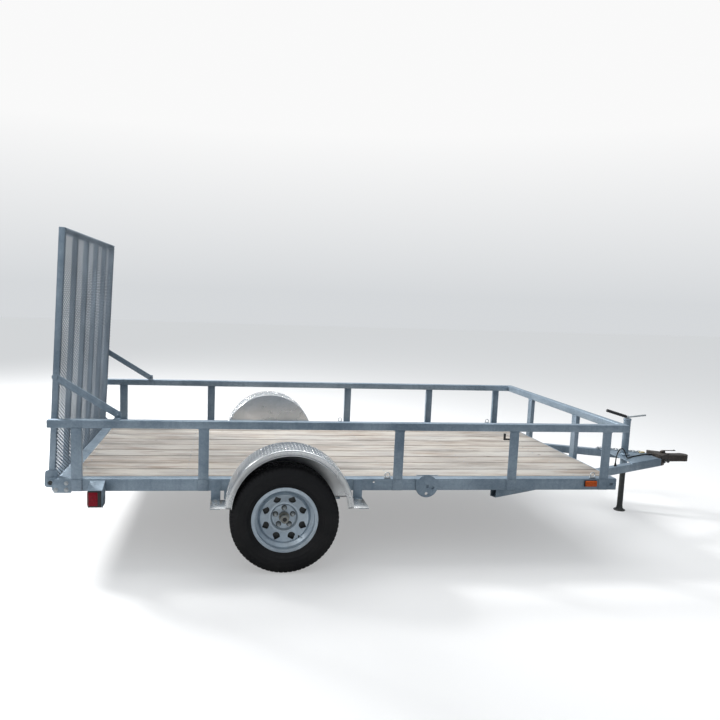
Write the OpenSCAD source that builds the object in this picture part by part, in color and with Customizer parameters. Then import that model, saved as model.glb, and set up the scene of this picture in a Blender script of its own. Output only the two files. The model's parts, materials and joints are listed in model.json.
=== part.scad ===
// Single-axle utility trailer with a plank deck, rail sides and a rear ramp gate.
// +X points to the hitch, +Y to the left, +Z up.  Millimetres.
// Sizes along X are measured from the axle; place() moves them to the row frame.

/* [Deck and frame] */
// Outer width over the side rails
body_w = 1940; // [1500:10:2200]
// Distance from the axle back to the rear of the frame
frame_back = 1401; // [1200:1:2000]
// Distance from the axle forward to the front of the frame
frame_ahead = 2285; // [1600:1:3000]
// Height of the deck above the ground
deck_z = 545; // [480:1:700]
// Height of the side frame's upright leg
frame_h = 76; // [60:1:100]
// Width of the side frame's flat top leg
frame_leg = 67; // [50:1:90]
// Wall of the frame angles
frame_t = 5; // [3:0.5:8]
// Thickness of the deck planks
plank_t = 38; // [25:1:50]
// Number of deck planks
plank_count = 10; // [6:1:14]
// Gap between two planks
plank_gap = 4; // [2:1:10]
// Number of cross members under the deck
cross_count = 6; // [4:1:9]

/* [Rails and posts] */
// Wall of the rail and gate tubes
tube_wall = 3; // [2:0.5:5]
// Height of the rail's top above the ground
rail_top = 917; // [800:1:1200]
// Side of the square rail tube
rail_s = 50; // [38:1:64]
// How far the rails run past the rear of the frame
rail_past_rear = 53; // [20:1:80]
// Width of a post's flat leg
post_w = 64; // [40:1:80]
// Depth of a post's other leg
post_leg = 32; // [20:1:45]
// Wall of a post
post_t = 5; // [3:0.5:8]

/* [Wheels] */
// Outer radius of the tyre
tyre_r = 341; // [300:1:380]
// Width of the tyre
tyre_w = 205; // [165:1:235]
// Distance from the side of the trailer to a wheel's middle plane
wheel_out = 125; // [120:1:140]
// Radius of the rim where the tyre's bead sits
rim_seat_r = 190.5; // [165:0.5:203]
// Height of the rim flange above the bead seat
rim_flange_h = 17; // [12:1:20]
// Overall width of the rim
rim_w = 143; // [120:1:180]
// Pitch circle of the wheel nuts
nut_pcd = 114.3; // [98:0.1:140]
// Number of wheel nuts
nut_count = 5; // [4:1:6]
// Number of openings in the wheel disc
vent_count = 8; // [5:1:12]

/* [Fenders] */
// Outer radius of the fender's arch
fender_r = 396; // [380:1:460]
// Width of the fender
fender_w = 235; // [220:1:280]
// Depth of the fender's outer skirt
skirt_d = 35; // [20:1:60]
// Sheet thickness of the fender
fender_t = 2.5; // [1.5:0.5:4]

/* [Tongue and jack] */
// Distance from the frame's front to the nose of the coupler
tongue_len = 1227; // [900:1:1600]
// Height of a tongue tube
tongue_h = 60; // [50:1:80]
// Width of a tongue tube
tongue_w = 50; // [40:1:60]
// Wall of a tongue tube
tongue_t = 4; // [3:0.5:6]
// Diameter of the tow ball that the coupler fits
ball_d = 50.8; // [47.6:0.1:58.8]
// Outer radius of the jack's fixed tube
jack_r = 28; // [24:0.5:34]
// Wall of the jack's fixed tube
jack_wall = 5.5; // [3:0.5:7]
// Height of the top of the jack's fixed tube
jack_top = 772; // [680:1:850]
// How far the jack's leg can be wound up
leg_travel = 250; // [150:1:300]

/* [Ramp gate] */
// Height of the gate above its hinge pin
gate_h = 1576; // [1200:1:1800]
// Side of the gate's square tubes
gate_s = 38; // [25:1:50]
// Number of upright ribs inside the gate
rib_count = 4; // [2:1:7]
// Forward lean of the closed gate in degrees
gate_lean = 3; // [0:0.5:6]
// Radius of the gate's hinge pins
hinge_pin_r = 10; // [8:0.5:14]
// Width of a gate brace
brace_w = 44; // [30:1:50]

/* [Lights and fittings] */
// Width of a tail lamp across the trailer
lamp_w = 96; // [80:1:110]
// Height of a tail lamp
lamp_h = 106; // [80:1:120]
// Length of an amber side marker
marker_len = 88; // [60:1:120]
// Radius of the tie-down rings' middle line
ring_r = 16; // [12:1:25]

/* [Hidden] */
$fn = 48;

galvanised = "lightsteelblue";
dark_steel = "dimgray";

// Frame
half_w = body_w / 2;
rear_x = -frame_back;
front_x = frame_ahead;
frame_y = half_w - post_t;
frame_z = deck_z - frame_h;
inner_y = frame_y - frame_leg;
leg_in_y = frame_y - frame_t;
plank_z = deck_z - plank_t;
rear_leg = 73;
plank_back = rear_x + rear_leg + 2;
plank_front = front_x - frame_t - 1;
plank_side_gap = 2;
plank_pitch = (2 * (inner_y - plank_side_gap) + plank_gap) / plank_count;
cross_leg = 50;
cross_first = plank_back + 20;
cross_last = front_x - 280;

// Rails
rail_z = rail_top - rail_s;
rail_back = rear_x - rail_past_rear;
rail_front = front_x + 6 + rail_s;

// Wheels
axle_z = tyre_r;
wheel_y = half_w + wheel_out;
hub_in = 58;
axle_r = 30;
spindle_r = 17;
spindle_gap = 0.05;
hub_r = 33;
hub_flange_r = 74;
hub_flange_t = 12;
disc_t = 5;

// Fenders
arch_x = 30;
arch_z = axle_z + 53;
fender_in = frame_y;
fender_out = fender_in + fender_w;
foot_z = axle_z + 85;
foot_reach = sqrt(pow(fender_r, 2) - pow(foot_z - arch_z, 2));
foot_len = 95;
bracket_w = 60;
bracket_t = 6;
bracket_reach = foot_reach + foot_len - 2 - bracket_w / 2;

// Posts, clear of the fenders
post_x = [
    rear_x + 120, arch_x - fender_r - 141, arch_x + fender_r + 325,
    front_x - 753, front_x - 97
];
front_post_y = [-340, 427];

// Springs
spring_y = leg_in_y - 35;
spring_w = 45;
leaf_t = 7;
eye_x = 345;
eye_r = 15;
eye_pin_r = 8;
eye_z = frame_z - 38;
spring_z = axle_z + axle_r + leaf_t * 3;
spring_rise = eye_z - spring_z;
spring_arc_r = (pow(eye_x, 2) + pow(spring_rise, 2)) / (2 * spring_rise);
hanger_t = 7;

// Tongue
nose_x = front_x + tongue_len;
tongue_top = frame_z;
tongue_z = tongue_top - tongue_h;
tongue_rear = [front_x - 845, leg_in_y - 15];
tongue_tip = [nose_x - 237, 75];
tongue_turn = atan2(tongue_rear[1] - tongue_tip[1], tongue_tip[0] - tongue_rear[0]);
tongue_end_x = nose_x - 300;
tongue_run = (tongue_end_x - tongue_rear[0]) / cos(tongue_turn);
plate_t = 5;
plate_back = nose_x - 660;
plate_front = tongue_end_x - 25;
plate_top = tongue_top + plate_t;

// Jack
jack_x = nose_x - 567;
jack_bottom = tongue_z - 15;
leg_r = jack_r - jack_wall - 0.3;
cap_h = 14;
leg_top = jack_top - 12 - leg_travel - 5;
foot_r = 46;
foot_t = 8;

// Ramp gate
hinge_x = rear_x - 51;
hinge_z = frame_z + 37;
gate_half = half_w - rail_s - 35;
mesh_t = 3;
lug_t = 6;
lug_front = 39;
lug_below = 35;
lug_above = 75;
lug_corner = 20;
hinge_gap = 0.05;
side_gap = 2;
brace_t = 8;
brace_pin_r = 8;
brace_high = 664;
brace_in = gate_half + 1.5;
brace_foot = [rear_x + 358, rail_top + 23];
brace_head = [
    hinge_x + brace_high * sin(gate_lean),
    hinge_z + brace_high * cos(gate_lean)
];
brace_len = norm(brace_foot - brace_head);
brace_turn = atan2(brace_head[1] - brace_foot[1], brace_foot[0] - brace_head[0]);

// Lights and fittings
lamp_x = rear_x + 201;
lamp_d = 88;
lamp_in = half_w + 8;
lamp_z = deck_z - 43 - lamp_h;
marker_x = front_x - 188;
marker_h = 44;
ring_x = [post_x[2] - 66, post_x[4] - 72];
ring_bar_r = 4.5;
plate_mid_x = post_x[2] + 198;
plate_w = 150;

// Wiring: the route's points in millimetres from the axle, chosen by hand
cable_d = 9;
cable_sides = 8;
cable_steps = 2;
cable_route = [
    [2660, -339, 475], [2660, -339, 495], [2663, -336, 520], [2672, -328, 547],
    [2690, -312, 571], [2716, -290, 586], [2746, -264, 590], [2776, -238, 583],
    [2804, -213, 566], [2829, -190, 542], [2851, -170, 516], [2872, -150, 494],
    [2896, -128, 481], [2922, -106, 479], [2950, -86, 479], [2980, -68, 479],
    [3010, -52, 479], [3040, -36, 479], [3070, -20, 479], [3100, -6, 479],
    [3128, 2, 479], [3142, 4, 479], [3156, 4, 479]
];
gland_r = 11;
plug_size = [38, 26, 14];

// The row frame's origin is under the middle of the whole trailer's length
lug_back_x = hinge_x - lug_front * cos(gate_lean)
    - (lug_below - lug_corner) * sin(gate_lean);
origin_x = (nose_x + min(lug_back_x, rail_back)) / 2;

module place() {
    translate([-origin_x, 0, 0]) children();
}

// Turns a flat outline drawn in X and Z upright, t thick from y outwards to -Y
module upright(y, t) {
    translate([0, y, 0]) rotate([90, 0, 0]) linear_extrude(t) children();
}

module on_both_sides() {
    children();
    mirror([0, 1, 0]) children();
}

// ---- Frame and deck ----

module side_frame_body() {
    hole_x = 594;
    difference() {
        union() {
            translate([rear_x, -frame_y, frame_z])
                cube([front_x - rear_x, frame_t, frame_h]);
            translate([rear_x, -frame_y, deck_z - frame_t])
                cube([front_x - rear_x, frame_leg, frame_t]);
        }
        translate([hole_x, -frame_y + frame_t + 1, deck_z - 20])
            rotate([90, 0, 0]) cylinder(r = 7, h = frame_t + 2);
        translate([front_x - 48, -frame_y - 1, deck_z - 46])
            cube([24, frame_t + 2, 14]);
    }
}

module side_frame_right() {
    color(galvanised) place() side_frame_body();
}

module side_frame_left() {
    color(galvanised) place() mirror([0, 1, 0]) side_frame_body();
}

module front_member() {
    color(galvanised) place() {
        translate([front_x - frame_t, -leg_in_y, frame_z])
            cube([frame_t, 2 * leg_in_y, frame_h - frame_t]);
        translate([front_x - frame_t, -inner_y, deck_z - frame_t])
            cube([frame_t, 2 * inner_y, frame_t]);
        translate([front_x - frame_leg, -leg_in_y, plank_z - frame_t])
            cube([frame_leg - frame_t, 2 * leg_in_y, frame_t]);
    }
}

module rear_member() {
    color(galvanised) place() {
        translate([rear_x, -leg_in_y, frame_z])
            cube([frame_t, 2 * leg_in_y, frame_h - frame_t]);
        translate([rear_x, -inner_y, deck_z - frame_t])
            cube([rear_leg, 2 * inner_y, frame_t]);
    }
}

module cross_members() {
    step = (cross_last - cross_first) / (cross_count - 1);
    color(galvanised) place()
        for (i = [0 : cross_count - 1]) {
            translate([cross_first + i * step, -leg_in_y, 0]) {
                translate([0, 0, plank_z - frame_t])
                    cube([cross_leg, 2 * leg_in_y, frame_t]);
                translate([0, 0, frame_z])
                    cube([frame_t, 2 * leg_in_y, plank_z - frame_z - frame_t]);
            }
        }
}

module deck_planks() {
    color("tan") place()
        for (i = [0 : plank_count - 1])
            translate([plank_back, -inner_y + plank_side_gap + i * plank_pitch, plank_z])
                cube([plank_front - plank_back, plank_pitch - plank_gap, plank_t]);
}

// ---- Posts and rails ----

// A post stands on the frame's outer face; its other leg points inwards at its +X edge
module side_post() {
    translate([-post_w / 2, -half_w, frame_z])
        cube([post_w, post_t, rail_z - frame_z]);
    translate([post_w / 2 - post_t, -half_w + post_t, deck_z])
        cube([post_t, post_leg - post_t, rail_z - deck_z]);
}

module posts_right() {
    color(galvanised) place()
        for (x = post_x)
            translate([x, 0, 0]) side_post();
}

module posts_left() {
    color(galvanised) place()
        for (x = post_x)
            translate([x, 0, 0]) rotate([0, 0, 180]) side_post();
}

module front_posts() {
    foot = plank_z + 12;
    color(galvanised) place()
        for (y = front_post_y) {
            translate([front_x, y - post_w / 2, foot])
                cube([post_t, post_w, rail_z - foot]);
            translate([front_x + post_t, y - post_w / 2, foot])
                cube([post_leg - post_t, post_t, rail_z - foot]);
        }
}

// A square tube along X with closed ends
module capped_tube(len, s, wall) {
    difference() {
        cube([len, s, s]);
        translate([wall, wall, wall]) cube([len - 2 * wall, s - 2 * wall, s - 2 * wall]);
    }
}

module side_rail() {
    translate([rail_back, -half_w, rail_z])
        capped_tube(rail_front - rail_back, rail_s, tube_wall);
}

module rail_right() {
    color(galvanised) place() side_rail();
}

module rail_left() {
    color(galvanised) place() mirror([0, 1, 0]) side_rail();
}

module front_rail() {
    reach = half_w - rail_s;
    color(galvanised) place()
        translate([rail_front, -reach, rail_z])
            rotate([0, 0, 90]) capped_tube(2 * reach, rail_s, tube_wall);
}

// ---- Fenders ----

module fender_half_disc(r) {
    intersection() {
        translate([arch_x, arch_z]) circle(r, $fn = 96);
        translate([arch_x - fender_r - 5, foot_z])
            square([2 * fender_r + 10, 2 * fender_r]);
    }
}

module fender_body() {
    upright(-fender_in, fender_t) fender_half_disc(fender_r);
    upright(-fender_in, fender_w)
        difference() {
            fender_half_disc(fender_r);
            translate([arch_x, arch_z]) circle(fender_r - fender_t, $fn = 96);
        }
    upright(-fender_out + fender_t, fender_t)
        difference() {
            fender_half_disc(fender_r);
            translate([arch_x, arch_z]) circle(fender_r - skirt_d, $fn = 96);
        }
    for (side = [-1, 1])
        translate([
            arch_x + side * (foot_reach + foot_len / 2 - 2) - foot_len / 2,
            -fender_out, foot_z
        ])
            cube([foot_len, fender_w - 60, fender_t]);
}

module fender_right() {
    color("whitesmoke") place() fender_body();
}

module fender_left() {
    color("whitesmoke") place() mirror([0, 1, 0]) fender_body();
}

module fender_brackets() {
    color(galvanised) place() on_both_sides()
        for (side = [-1, 1])
            translate([arch_x + side * bracket_reach - bracket_w / 2, 0, 0]) {
                translate([0, -frame_y - bracket_t, foot_z - bracket_t])
                    cube([bracket_w, bracket_t, deck_z - foot_z + bracket_t - 2]);
                translate([0, -fender_out + 8, foot_z - bracket_t])
                    cube([bracket_w, fender_w - 8 - bracket_t, bracket_t]);
            }
}

// ---- Axle and springs ----

module axle() {
    tube = wheel_y - hub_in - 3;
    color(dark_steel) place() translate([0, 0, axle_z]) rotate([90, 0, 0]) {
        cylinder(r = axle_r, h = 2 * tube, center = true);
        cylinder(r = spindle_r, h = 2 * (wheel_y + 40), center = true);
    }
}

// Leaves under the main one, out to reach on each side of the spring's middle
module leaf(below, reach) {
    arc_z = spring_z - leaf_t + spring_arc_r;
    intersection() {
        translate([-reach, axle_z]) square([2 * reach, spring_arc_r / 2]);
        difference() {
            translate([0, arc_z]) circle(r = spring_arc_r + below * leaf_t, $fn = 720);
            translate([0, arc_z]) circle(r = spring_arc_r - leaf_t, $fn = 720);
        }
    }
}

module leaf_springs() {
    color(dark_steel) place() on_both_sides()
        difference() {
            union() {
                upright(-spring_y + spring_w / 2, spring_w) {
                    leaf(0, eye_x - 5);
                    leaf(1, eye_x - 96);
                    leaf(2, eye_x - 190);
                }
                for (side = [-1, 1])
                    translate([side * eye_x, -spring_y, eye_z])
                        rotate([90, 0, 0]) cylinder(r = eye_r, h = spring_w, center = true);
            }
            for (side = [-1, 1])
                translate([side * eye_x, -spring_y, eye_z])
                    rotate([90, 0, 0])
                        cylinder(r = eye_pin_r + 0.3, h = spring_w + 2, center = true);
        }
}

module spring_hangers() {
    cheek = spring_w / 2 + 1;
    color(galvanised) place() on_both_sides()
        for (side = [-1, 1])
            translate([side * eye_x, -spring_y, 0]) {
                for (face = [-1, 1])
                    translate([-30, face * (cheek + hanger_t / 2) - hanger_t / 2, eye_z - 22])
                        cube([60, hanger_t, plank_z - eye_z + 22]);
                translate([-30, -cheek, plank_z - hanger_t])
                    cube([60, 2 * cheek, hanger_t]);
                translate([0, 0, eye_z]) rotate([90, 0, 0])
                    cylinder(r = eye_pin_r, h = 2 * (cheek + hanger_t), center = true);
            }
}

module spring_clamps() {
    pad = 52;
    stem_r = 6;
    top_z = spring_z + 2;
    color(galvanised) place() on_both_sides()
        translate([0, -spring_y, 0]) {
            translate([-pad, -spring_w / 2 - 14, top_z])
                cube([2 * pad, spring_w + 28, 8]);
            translate([-pad, -spring_w / 2 - 14, axle_z - axle_r - 8])
                cube([2 * pad, spring_w + 28, 8]);
            for (x = [-1, 1])
                for (y = [-1, 1])
                    translate([x * (axle_r + stem_r + 1), y * (spring_w / 2 + stem_r + 1), 0])
                        translate([0, 0, axle_z - axle_r - 20])
                            cylinder(r = stem_r, h = top_z - axle_z + axle_r + 34);
        }
}

// ---- Tongue, coupler and jack ----

module tongue_tube() {
    translate([tongue_rear[0], -tongue_rear[1], tongue_z]) rotate([0, 0, tongue_turn])
        difference() {
            cube([tongue_run, tongue_w, tongue_h]);
            translate([-1, tongue_t, tongue_t])
                cube([tongue_run + 2, tongue_w - 2 * tongue_t, tongue_h - 2 * tongue_t]);
        }
}

module tongue_right() {
    color(galvanised) place() tongue_tube();
}

module tongue_left() {
    color(galvanised) place() mirror([0, 1, 0]) tongue_tube();
}

// Half-width of the tongue over the tubes' outer faces at x
function tongue_half(x) = tongue_rear[1] - (x - tongue_rear[0]) * tan(tongue_turn);

module tongue_plate() {
    color(galvanised) place() translate([0, 0, tongue_top])
        difference() {
            linear_extrude(plate_t)
                polygon([
                    [plate_back, -tongue_half(plate_back) + 6],
                    [plate_front, -tongue_half(plate_front) + 6],
                    [plate_front, tongue_half(plate_front) - 6],
                    [plate_back, tongue_half(plate_back) - 6]
                ]);
            translate([jack_x, 0, -1]) cylinder(r = jack_r, h = plate_t + 2);
        }
}

module coupler() {
    back = tongue_end_x;
    ball_x = nose_x - 46;
    body_top = tongue_top + 27;
    wide = tongue_half(back) + 2;
    narrow = 40;
    socket_r = ball_d / 2 + 0.5;
    socket_low = tongue_z + 22;
    color(dark_steel) place()
        difference() {
            union() {
                translate([0, 0, tongue_z]) linear_extrude(body_top - tongue_z)
                    polygon([
                        [back, -wide], [back + 95, -narrow - 6], [ball_x, -narrow],
                        [ball_x, narrow], [back + 95, narrow + 6], [back, wide]
                    ]);
                translate([ball_x, 0, socket_low])
                    cylinder(r = nose_x - ball_x, h = body_top - socket_low - 12);
            }
            translate([ball_x, 0, tongue_z - 1]) cylinder(r = socket_r, h = 56);
            translate([back + 90, -narrow - 20, tongue_z - 1])
                cube([nose_x - back, 2 * narrow + 40, socket_low - tongue_z + 1]);
            translate([back - 1, -wide + 30, tongue_z - 1])
                cube([91, 2 * wide - 60, tongue_h - 20]);
            translate([back + 110, -narrow - 20, body_top - 12])
                cube([nose_x - back, 2 * narrow + 40, 20]);
        }
}

module coupler_latch() {
    pivot_x = tongue_end_x + 60;
    top = tongue_top + 27;
    color(dark_steel) place() {
        translate([pivot_x, -11, top]) cube([34, 22, 16]);
        translate([pivot_x + 10, -8, top + 16]) cube([120, 16, 5]);
    }
}

module jack_tube() {
    flange_r = jack_r + 14;
    color(dark_steel) place() translate([jack_x, 0, 0])
        difference() {
            union() {
                translate([0, 0, jack_bottom]) cylinder(r = jack_r, h = jack_top - jack_bottom);
                translate([0, 0, plate_top]) cylinder(r = flange_r, h = 14);
                translate([0, 0, jack_top]) cylinder(r = jack_r + 3, h = cap_h);
            }
            translate([0, 0, jack_bottom - 1])
                cylinder(r = jack_r - jack_wall, h = jack_top - 12 - jack_bottom + 1);
        }
}

module jack_crank() {
    hub_top = jack_top + cap_h;
    arm_r = 7;
    arm_len = 160;
    grip_r = 13;
    grip_len = 185;
    color("dimgray") place() translate([jack_x, 0, hub_top]) {
        cylinder(r = 13, h = 22);
        translate([0, 0, 12]) rotate([0, 84, 0]) cylinder(r = arm_r, h = arm_len);
        translate([-12, 0, 15]) rotate([0, -74, 0]) cylinder(r = grip_r, h = grip_len);
    }
}

module jack_leg() {
    color(dark_steel) place() translate([jack_x, 0, 0]) {
        cylinder(r = foot_r, h = foot_t);
        translate([0, 0, foot_t]) cylinder(r1 = leg_r + 14, r2 = leg_r, h = 34);
        translate([0, 0, foot_t + 34]) cylinder(r = leg_r, h = leg_top - foot_t - 34);
    }
}

// ---- Lights and fittings ----

module lamp_brackets() {
    cheek_t = 4;
    cheek_x = lamp_x + lamp_d;
    out = lamp_in + lamp_w;
    top_in = deck_z - 5;
    top_out = lamp_z + lamp_h;
    color(galvanised) place() on_both_sides() {
        translate([cheek_x, 0, 0]) rotate([90, 0, 90]) linear_extrude(cheek_t)
            polygon([
                [-frame_y, top_in], [-frame_y, lamp_z + 30], [-lamp_in, lamp_z],
                [-out, lamp_z], [-out, top_out + cheek_t]
            ]);
        translate([lamp_x, 0, 0]) rotate([90, 0, 90]) linear_extrude(lamp_d)
            polygon([
                [-frame_y, top_in], [-frame_y, top_in - cheek_t],
                [-out, top_out], [-out, top_out + cheek_t]
            ]);
    }
}

module tail_lamps() {
    color("darkred") place() on_both_sides()
        translate([lamp_x, -lamp_in - lamp_w, lamp_z])
            cube([lamp_d, lamp_w, lamp_h]);
}

module side_markers() {
    color("orange") place() on_both_sides()
        translate([marker_x - marker_len / 2, -frame_y - 18, deck_z - 54])
            cube([marker_len, 18, marker_h]);
}

module tie_down_rings() {
    strap_w = 44;
    strap_h = 13;
    centre_z = deck_z + strap_h + ring_r - 5;
    color(galvanised) place() on_both_sides()
        for (x = ring_x)
            translate([x, -frame_y + 12, 0]) {
                translate([0, 0, centre_z]) rotate([90, 0, 0])
                    rotate_extrude() translate([ring_r, 0]) circle(ring_bar_r, $fn = 24);
                translate([-strap_w / 2, -ring_bar_r - 2, deck_z])
                    cube([strap_w, 2 * ring_bar_r + 4, strap_h]);
            }
}

module accessory_plate() {
    thick = 8;
    hole_r = 10;
    low = deck_z - 123;
    color(galvanised) place()
        difference() {
            upright(-frame_y, thick) {
                translate([plate_mid_x, low + plate_w / 2]) circle(plate_w / 2, $fn = 96);
                translate([plate_mid_x - plate_w / 2, low + plate_w / 2])
                    square([plate_w, deck_z - low - plate_w / 2 + 2]);
            }
            for (hole = [[3, -48], [41, -58], [-1, -98]])
                translate([plate_mid_x + hole[0], -frame_y + 1, deck_z + hole[1]])
                    rotate([90, 0, 0]) cylinder(r = hole_r, h = thick + 2);
        }
}

module hinge_brackets() {
    ear_t = 8;
    ear_r = 32;
    ear_in = gate_half + lug_t + side_gap;
    color(galvanised) place() on_both_sides() {
        upright(-ear_in, ear_t) {
            translate([hinge_x, hinge_z]) circle(ear_r);
            translate([hinge_x, hinge_z - ear_r]) square([rear_x - hinge_x, 2 * ear_r]);
        }
        translate([hinge_x, -gate_half - 0.5, hinge_z]) rotate([90, 0, 0])
            cylinder(r = hinge_pin_r, h = ear_in + ear_t - gate_half + 6);
    }
}

module corner_plates() {
    color(galvanised) place() on_both_sides()
        upright(-frame_y, post_t)
            polygon([
                [rear_x - 26, frame_z + 10], [rear_x - 12, frame_z - 10],
                [rear_x + 88, frame_z - 10], [rear_x + 88, deck_z],
                [rear_x - 6, deck_z], [rear_x - 26, deck_z - 26]
            ]);
}

// Catch on each rail for the brace's foot, with its pin drawn back
module brace_catches() {
    ear_in = brace_in + brace_t + 1.5;
    ear_t = 6;
    color(galvanised) place() on_both_sides()
        translate([brace_foot[0], 0, 0]) {
            translate([-20, -ear_in - ear_t, rail_top])
                cube([40, ear_t, 46]);
            translate([-20, -half_w + 12, rail_top])
                cube([40, half_w - 12 - ear_in - ear_t, 5]);
            translate([0, -ear_in - 1, brace_foot[1]]) rotate([90, 0, 0])
                cylinder(r = 6, h = 30);
        }
}

module rope_hook() {
    top = rail_z - 14;
    color("black") place()
        translate([post_x[3] - post_w / 2 - 40, -half_w + 1, top - 44]) {
            cube([40, 14, 10]);
            cube([12, 14, 44]);
        }
}

// ---- Wiring ----

module cable_gland() {
    spot = cable_route[0];
    color("black") place() translate([spot[0], spot[1], tongue_top])
        cylinder(r = gland_r, h = spot[2] - tongue_top);
}

// Point of a smooth curve through the route, t from 0 to 1 between points i and i + 1
function route_point(p, i, t) =
    let (
        last = len(p) - 1,
        b = p[i],
        c = p[min(i + 1, last)],
        a = i > 0 ? p[i - 1] : 2 * b - c,
        d = i + 2 <= last ? p[i + 2] : 2 * c - b
    )
    0.5 * (2 * b + (c - a) * t + (2 * a - 5 * b + 4 * c - d) * t * t
        + (3 * b - a - 3 * c + d) * t * t * t);

function fine_route(p, steps) = concat(
    [for (i = [0 : len(p) - 2]) for (k = [0 : steps - 1]) route_point(p, i, k / steps)],
    [p[len(p) - 1]]
);

function unit(v) = v / norm(v);

// A closed tube with flat ends along a list of points that never run along +Y
module tube_along(points, r, sides) {
    last = len(points) - 1;
    rings = [for (i = [0 : last])
        let (
            ahead = unit(points[min(i + 1, last)] - points[max(i - 1, 0)]),
            side = unit(cross([0, 1, 0], ahead)),
            up = cross(ahead, side)
        )
        for (k = [0 : sides - 1])
            points[i] + r * (cos(360 * k / sides) * side + sin(360 * k / sides) * up)];
    walls = [for (i = [0 : last - 1]) for (k = [0 : sides - 1])
        [i * sides + k, (i + 1) * sides + k,
            (i + 1) * sides + (k + 1) % sides, i * sides + (k + 1) % sides]];
    polyhedron(rings, concat(
        walls,
        [[for (k = [0 : sides - 1]) k]],
        [[for (k = [sides - 1 : -1 : 0]) last * sides + k]]
    ));
}

module harness_cable() {
    color("black") place()
        tube_along(fine_route(cable_route, cable_steps), cable_d / 2, cable_sides);
}

module harness_plug() {
    tip = cable_route[len(cable_route) - 1];
    color("black") place()
        translate([tip[0], tip[1] - plug_size[1] / 2, plate_top + 0.3])
            cube(plug_size);
}

// ---- Ramp gate ----

module gate_place() {
    place() translate([hinge_x, 0, hinge_z]) rotate([0, gate_lean, 0]) children();
}

module gate_side_bars() {
    color(galvanised) gate_place() on_both_sides()
        translate([gate_s / 2, -gate_half, -gate_s / 2])
            rotate([0, -90, 0]) capped_tube(gate_h + gate_s / 2, gate_s, tube_wall);
}

module gate_cross_bars() {
    span = 2 * (gate_half - gate_s);
    color(galvanised) gate_place()
        for (z = [-gate_s / 2, gate_h - gate_s])
            translate([gate_s / 2, -span / 2, z])
                rotate([0, 0, 90]) capped_tube(span, gate_s, tube_wall);
}

module gate_ribs() {
    rib_w = 32;
    rib_t = 5;
    span = 2 * gate_half - gate_s;
    low = gate_s / 2;
    tall = gate_h - gate_s - low;
    color(galvanised) gate_place()
        for (i = [1 : rib_count])
            translate([0, -span / 2 + span * i / (rib_count + 1), low]) {
                translate([gate_s / 2 - rib_t, -rib_w / 2, 0]) cube([rib_t, rib_w, tall]);
                translate([-gate_s / 2, rib_w / 2 - rib_t, 0])
                    cube([gate_s - rib_t, rib_t, tall]);
            }
}

module gate_mesh() {
    edge = 6;
    color("slategray") gate_place()
        translate([gate_s / 2, -gate_half + edge, edge])
            cube([mesh_t, 2 * (gate_half - edge), gate_h - 2 * edge]);
}

module lug_outline() {
    reach = lug_front - lug_corner;
    for (x = [-reach, reach])
        for (z = [-lug_below + lug_corner, lug_above - lug_corner])
            translate([x, z]) circle(lug_corner);
    translate([-reach, -lug_below]) square([2 * reach, lug_below + lug_above]);
    translate([-lug_front, -lug_below + lug_corner])
        square([2 * lug_front, lug_below + lug_above - 2 * lug_corner]);
}

// Hinge lugs on the gate's sides and the bolts that its braces turn on
module gate_hinge_lugs() {
    color(galvanised) gate_place() on_both_sides() {
        upright(-gate_half, lug_t)
            difference() {
                lug_outline();
                circle(hinge_pin_r + hinge_gap, $fn = 96);
            }
        translate([0, -gate_half, brace_high]) rotate([90, 0, 0]) {
            cylinder(r = brace_pin_r, h = brace_t + 5);
            translate([0, 0, brace_t + 3]) cylinder(r = 15, h = 8);
        }
    }
}

module brace_body() {
    translate([brace_head[0], -brace_in, brace_head[1]]) rotate([0, brace_turn, 0])
        rotate([90, 0, 0]) linear_extrude(brace_t)
            difference() {
                union() {
                    circle(brace_w / 2);
                    translate([0, -brace_w / 2]) square([brace_len, brace_w]);
                    translate([brace_len, 0]) circle(brace_w / 2);
                }
                circle(brace_pin_r + hinge_gap, $fn = 96);
                translate([brace_len, 0]) circle(brace_pin_r);
            }
}

module brace_right() {
    color(galvanised) place() brace_body();
}

module brace_left() {
    color(galvanised) place() mirror([0, 1, 0]) brace_body();
}

// ---- Wheels: drawn about Z with the outer face up, then turned to face -Y ----

module wheel_place() {
    place() translate([0, -wheel_y, axle_z]) rotate([90, 0, 0]) children();
}

// The tyre's section: bead, rounded sidewall, shoulder and tread, mirrored about its middle
module tyre_body() {
    edge = rim_w / 2;
    over_r = rim_seat_r + rim_flange_h + 0.5;
    wall_r = (tyre_r + rim_seat_r) / 2 - 4;
    shoulder = 26;
    half = [
        [rim_seat_r + 0.4, edge - 7], [over_r, edge - 5], [over_r, edge + 1],
        [over_r + 14, edge + 14], [wall_r - 25, tyre_w / 2 - 4], [wall_r, tyre_w / 2],
        [wall_r + 25, tyre_w / 2 - 4], [tyre_r - 16, tyre_w / 2 - shoulder + 10],
        [tyre_r - 5, tyre_w / 2 - shoulder], [tyre_r, tyre_w / 2 - shoulder - 20]
    ];
    rotate_extrude($fn = 96)
        polygon(concat(half, [for (i = [len(half) - 1 : -1 : 0]) [half[i][0], -half[i][1]]]));
}

module vent() {
    intersection() {
        translate([128, 0]) circle(25, $fn = 32);
        translate([108, 0]) rotate(45) square(60, center = true);
    }
}

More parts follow.
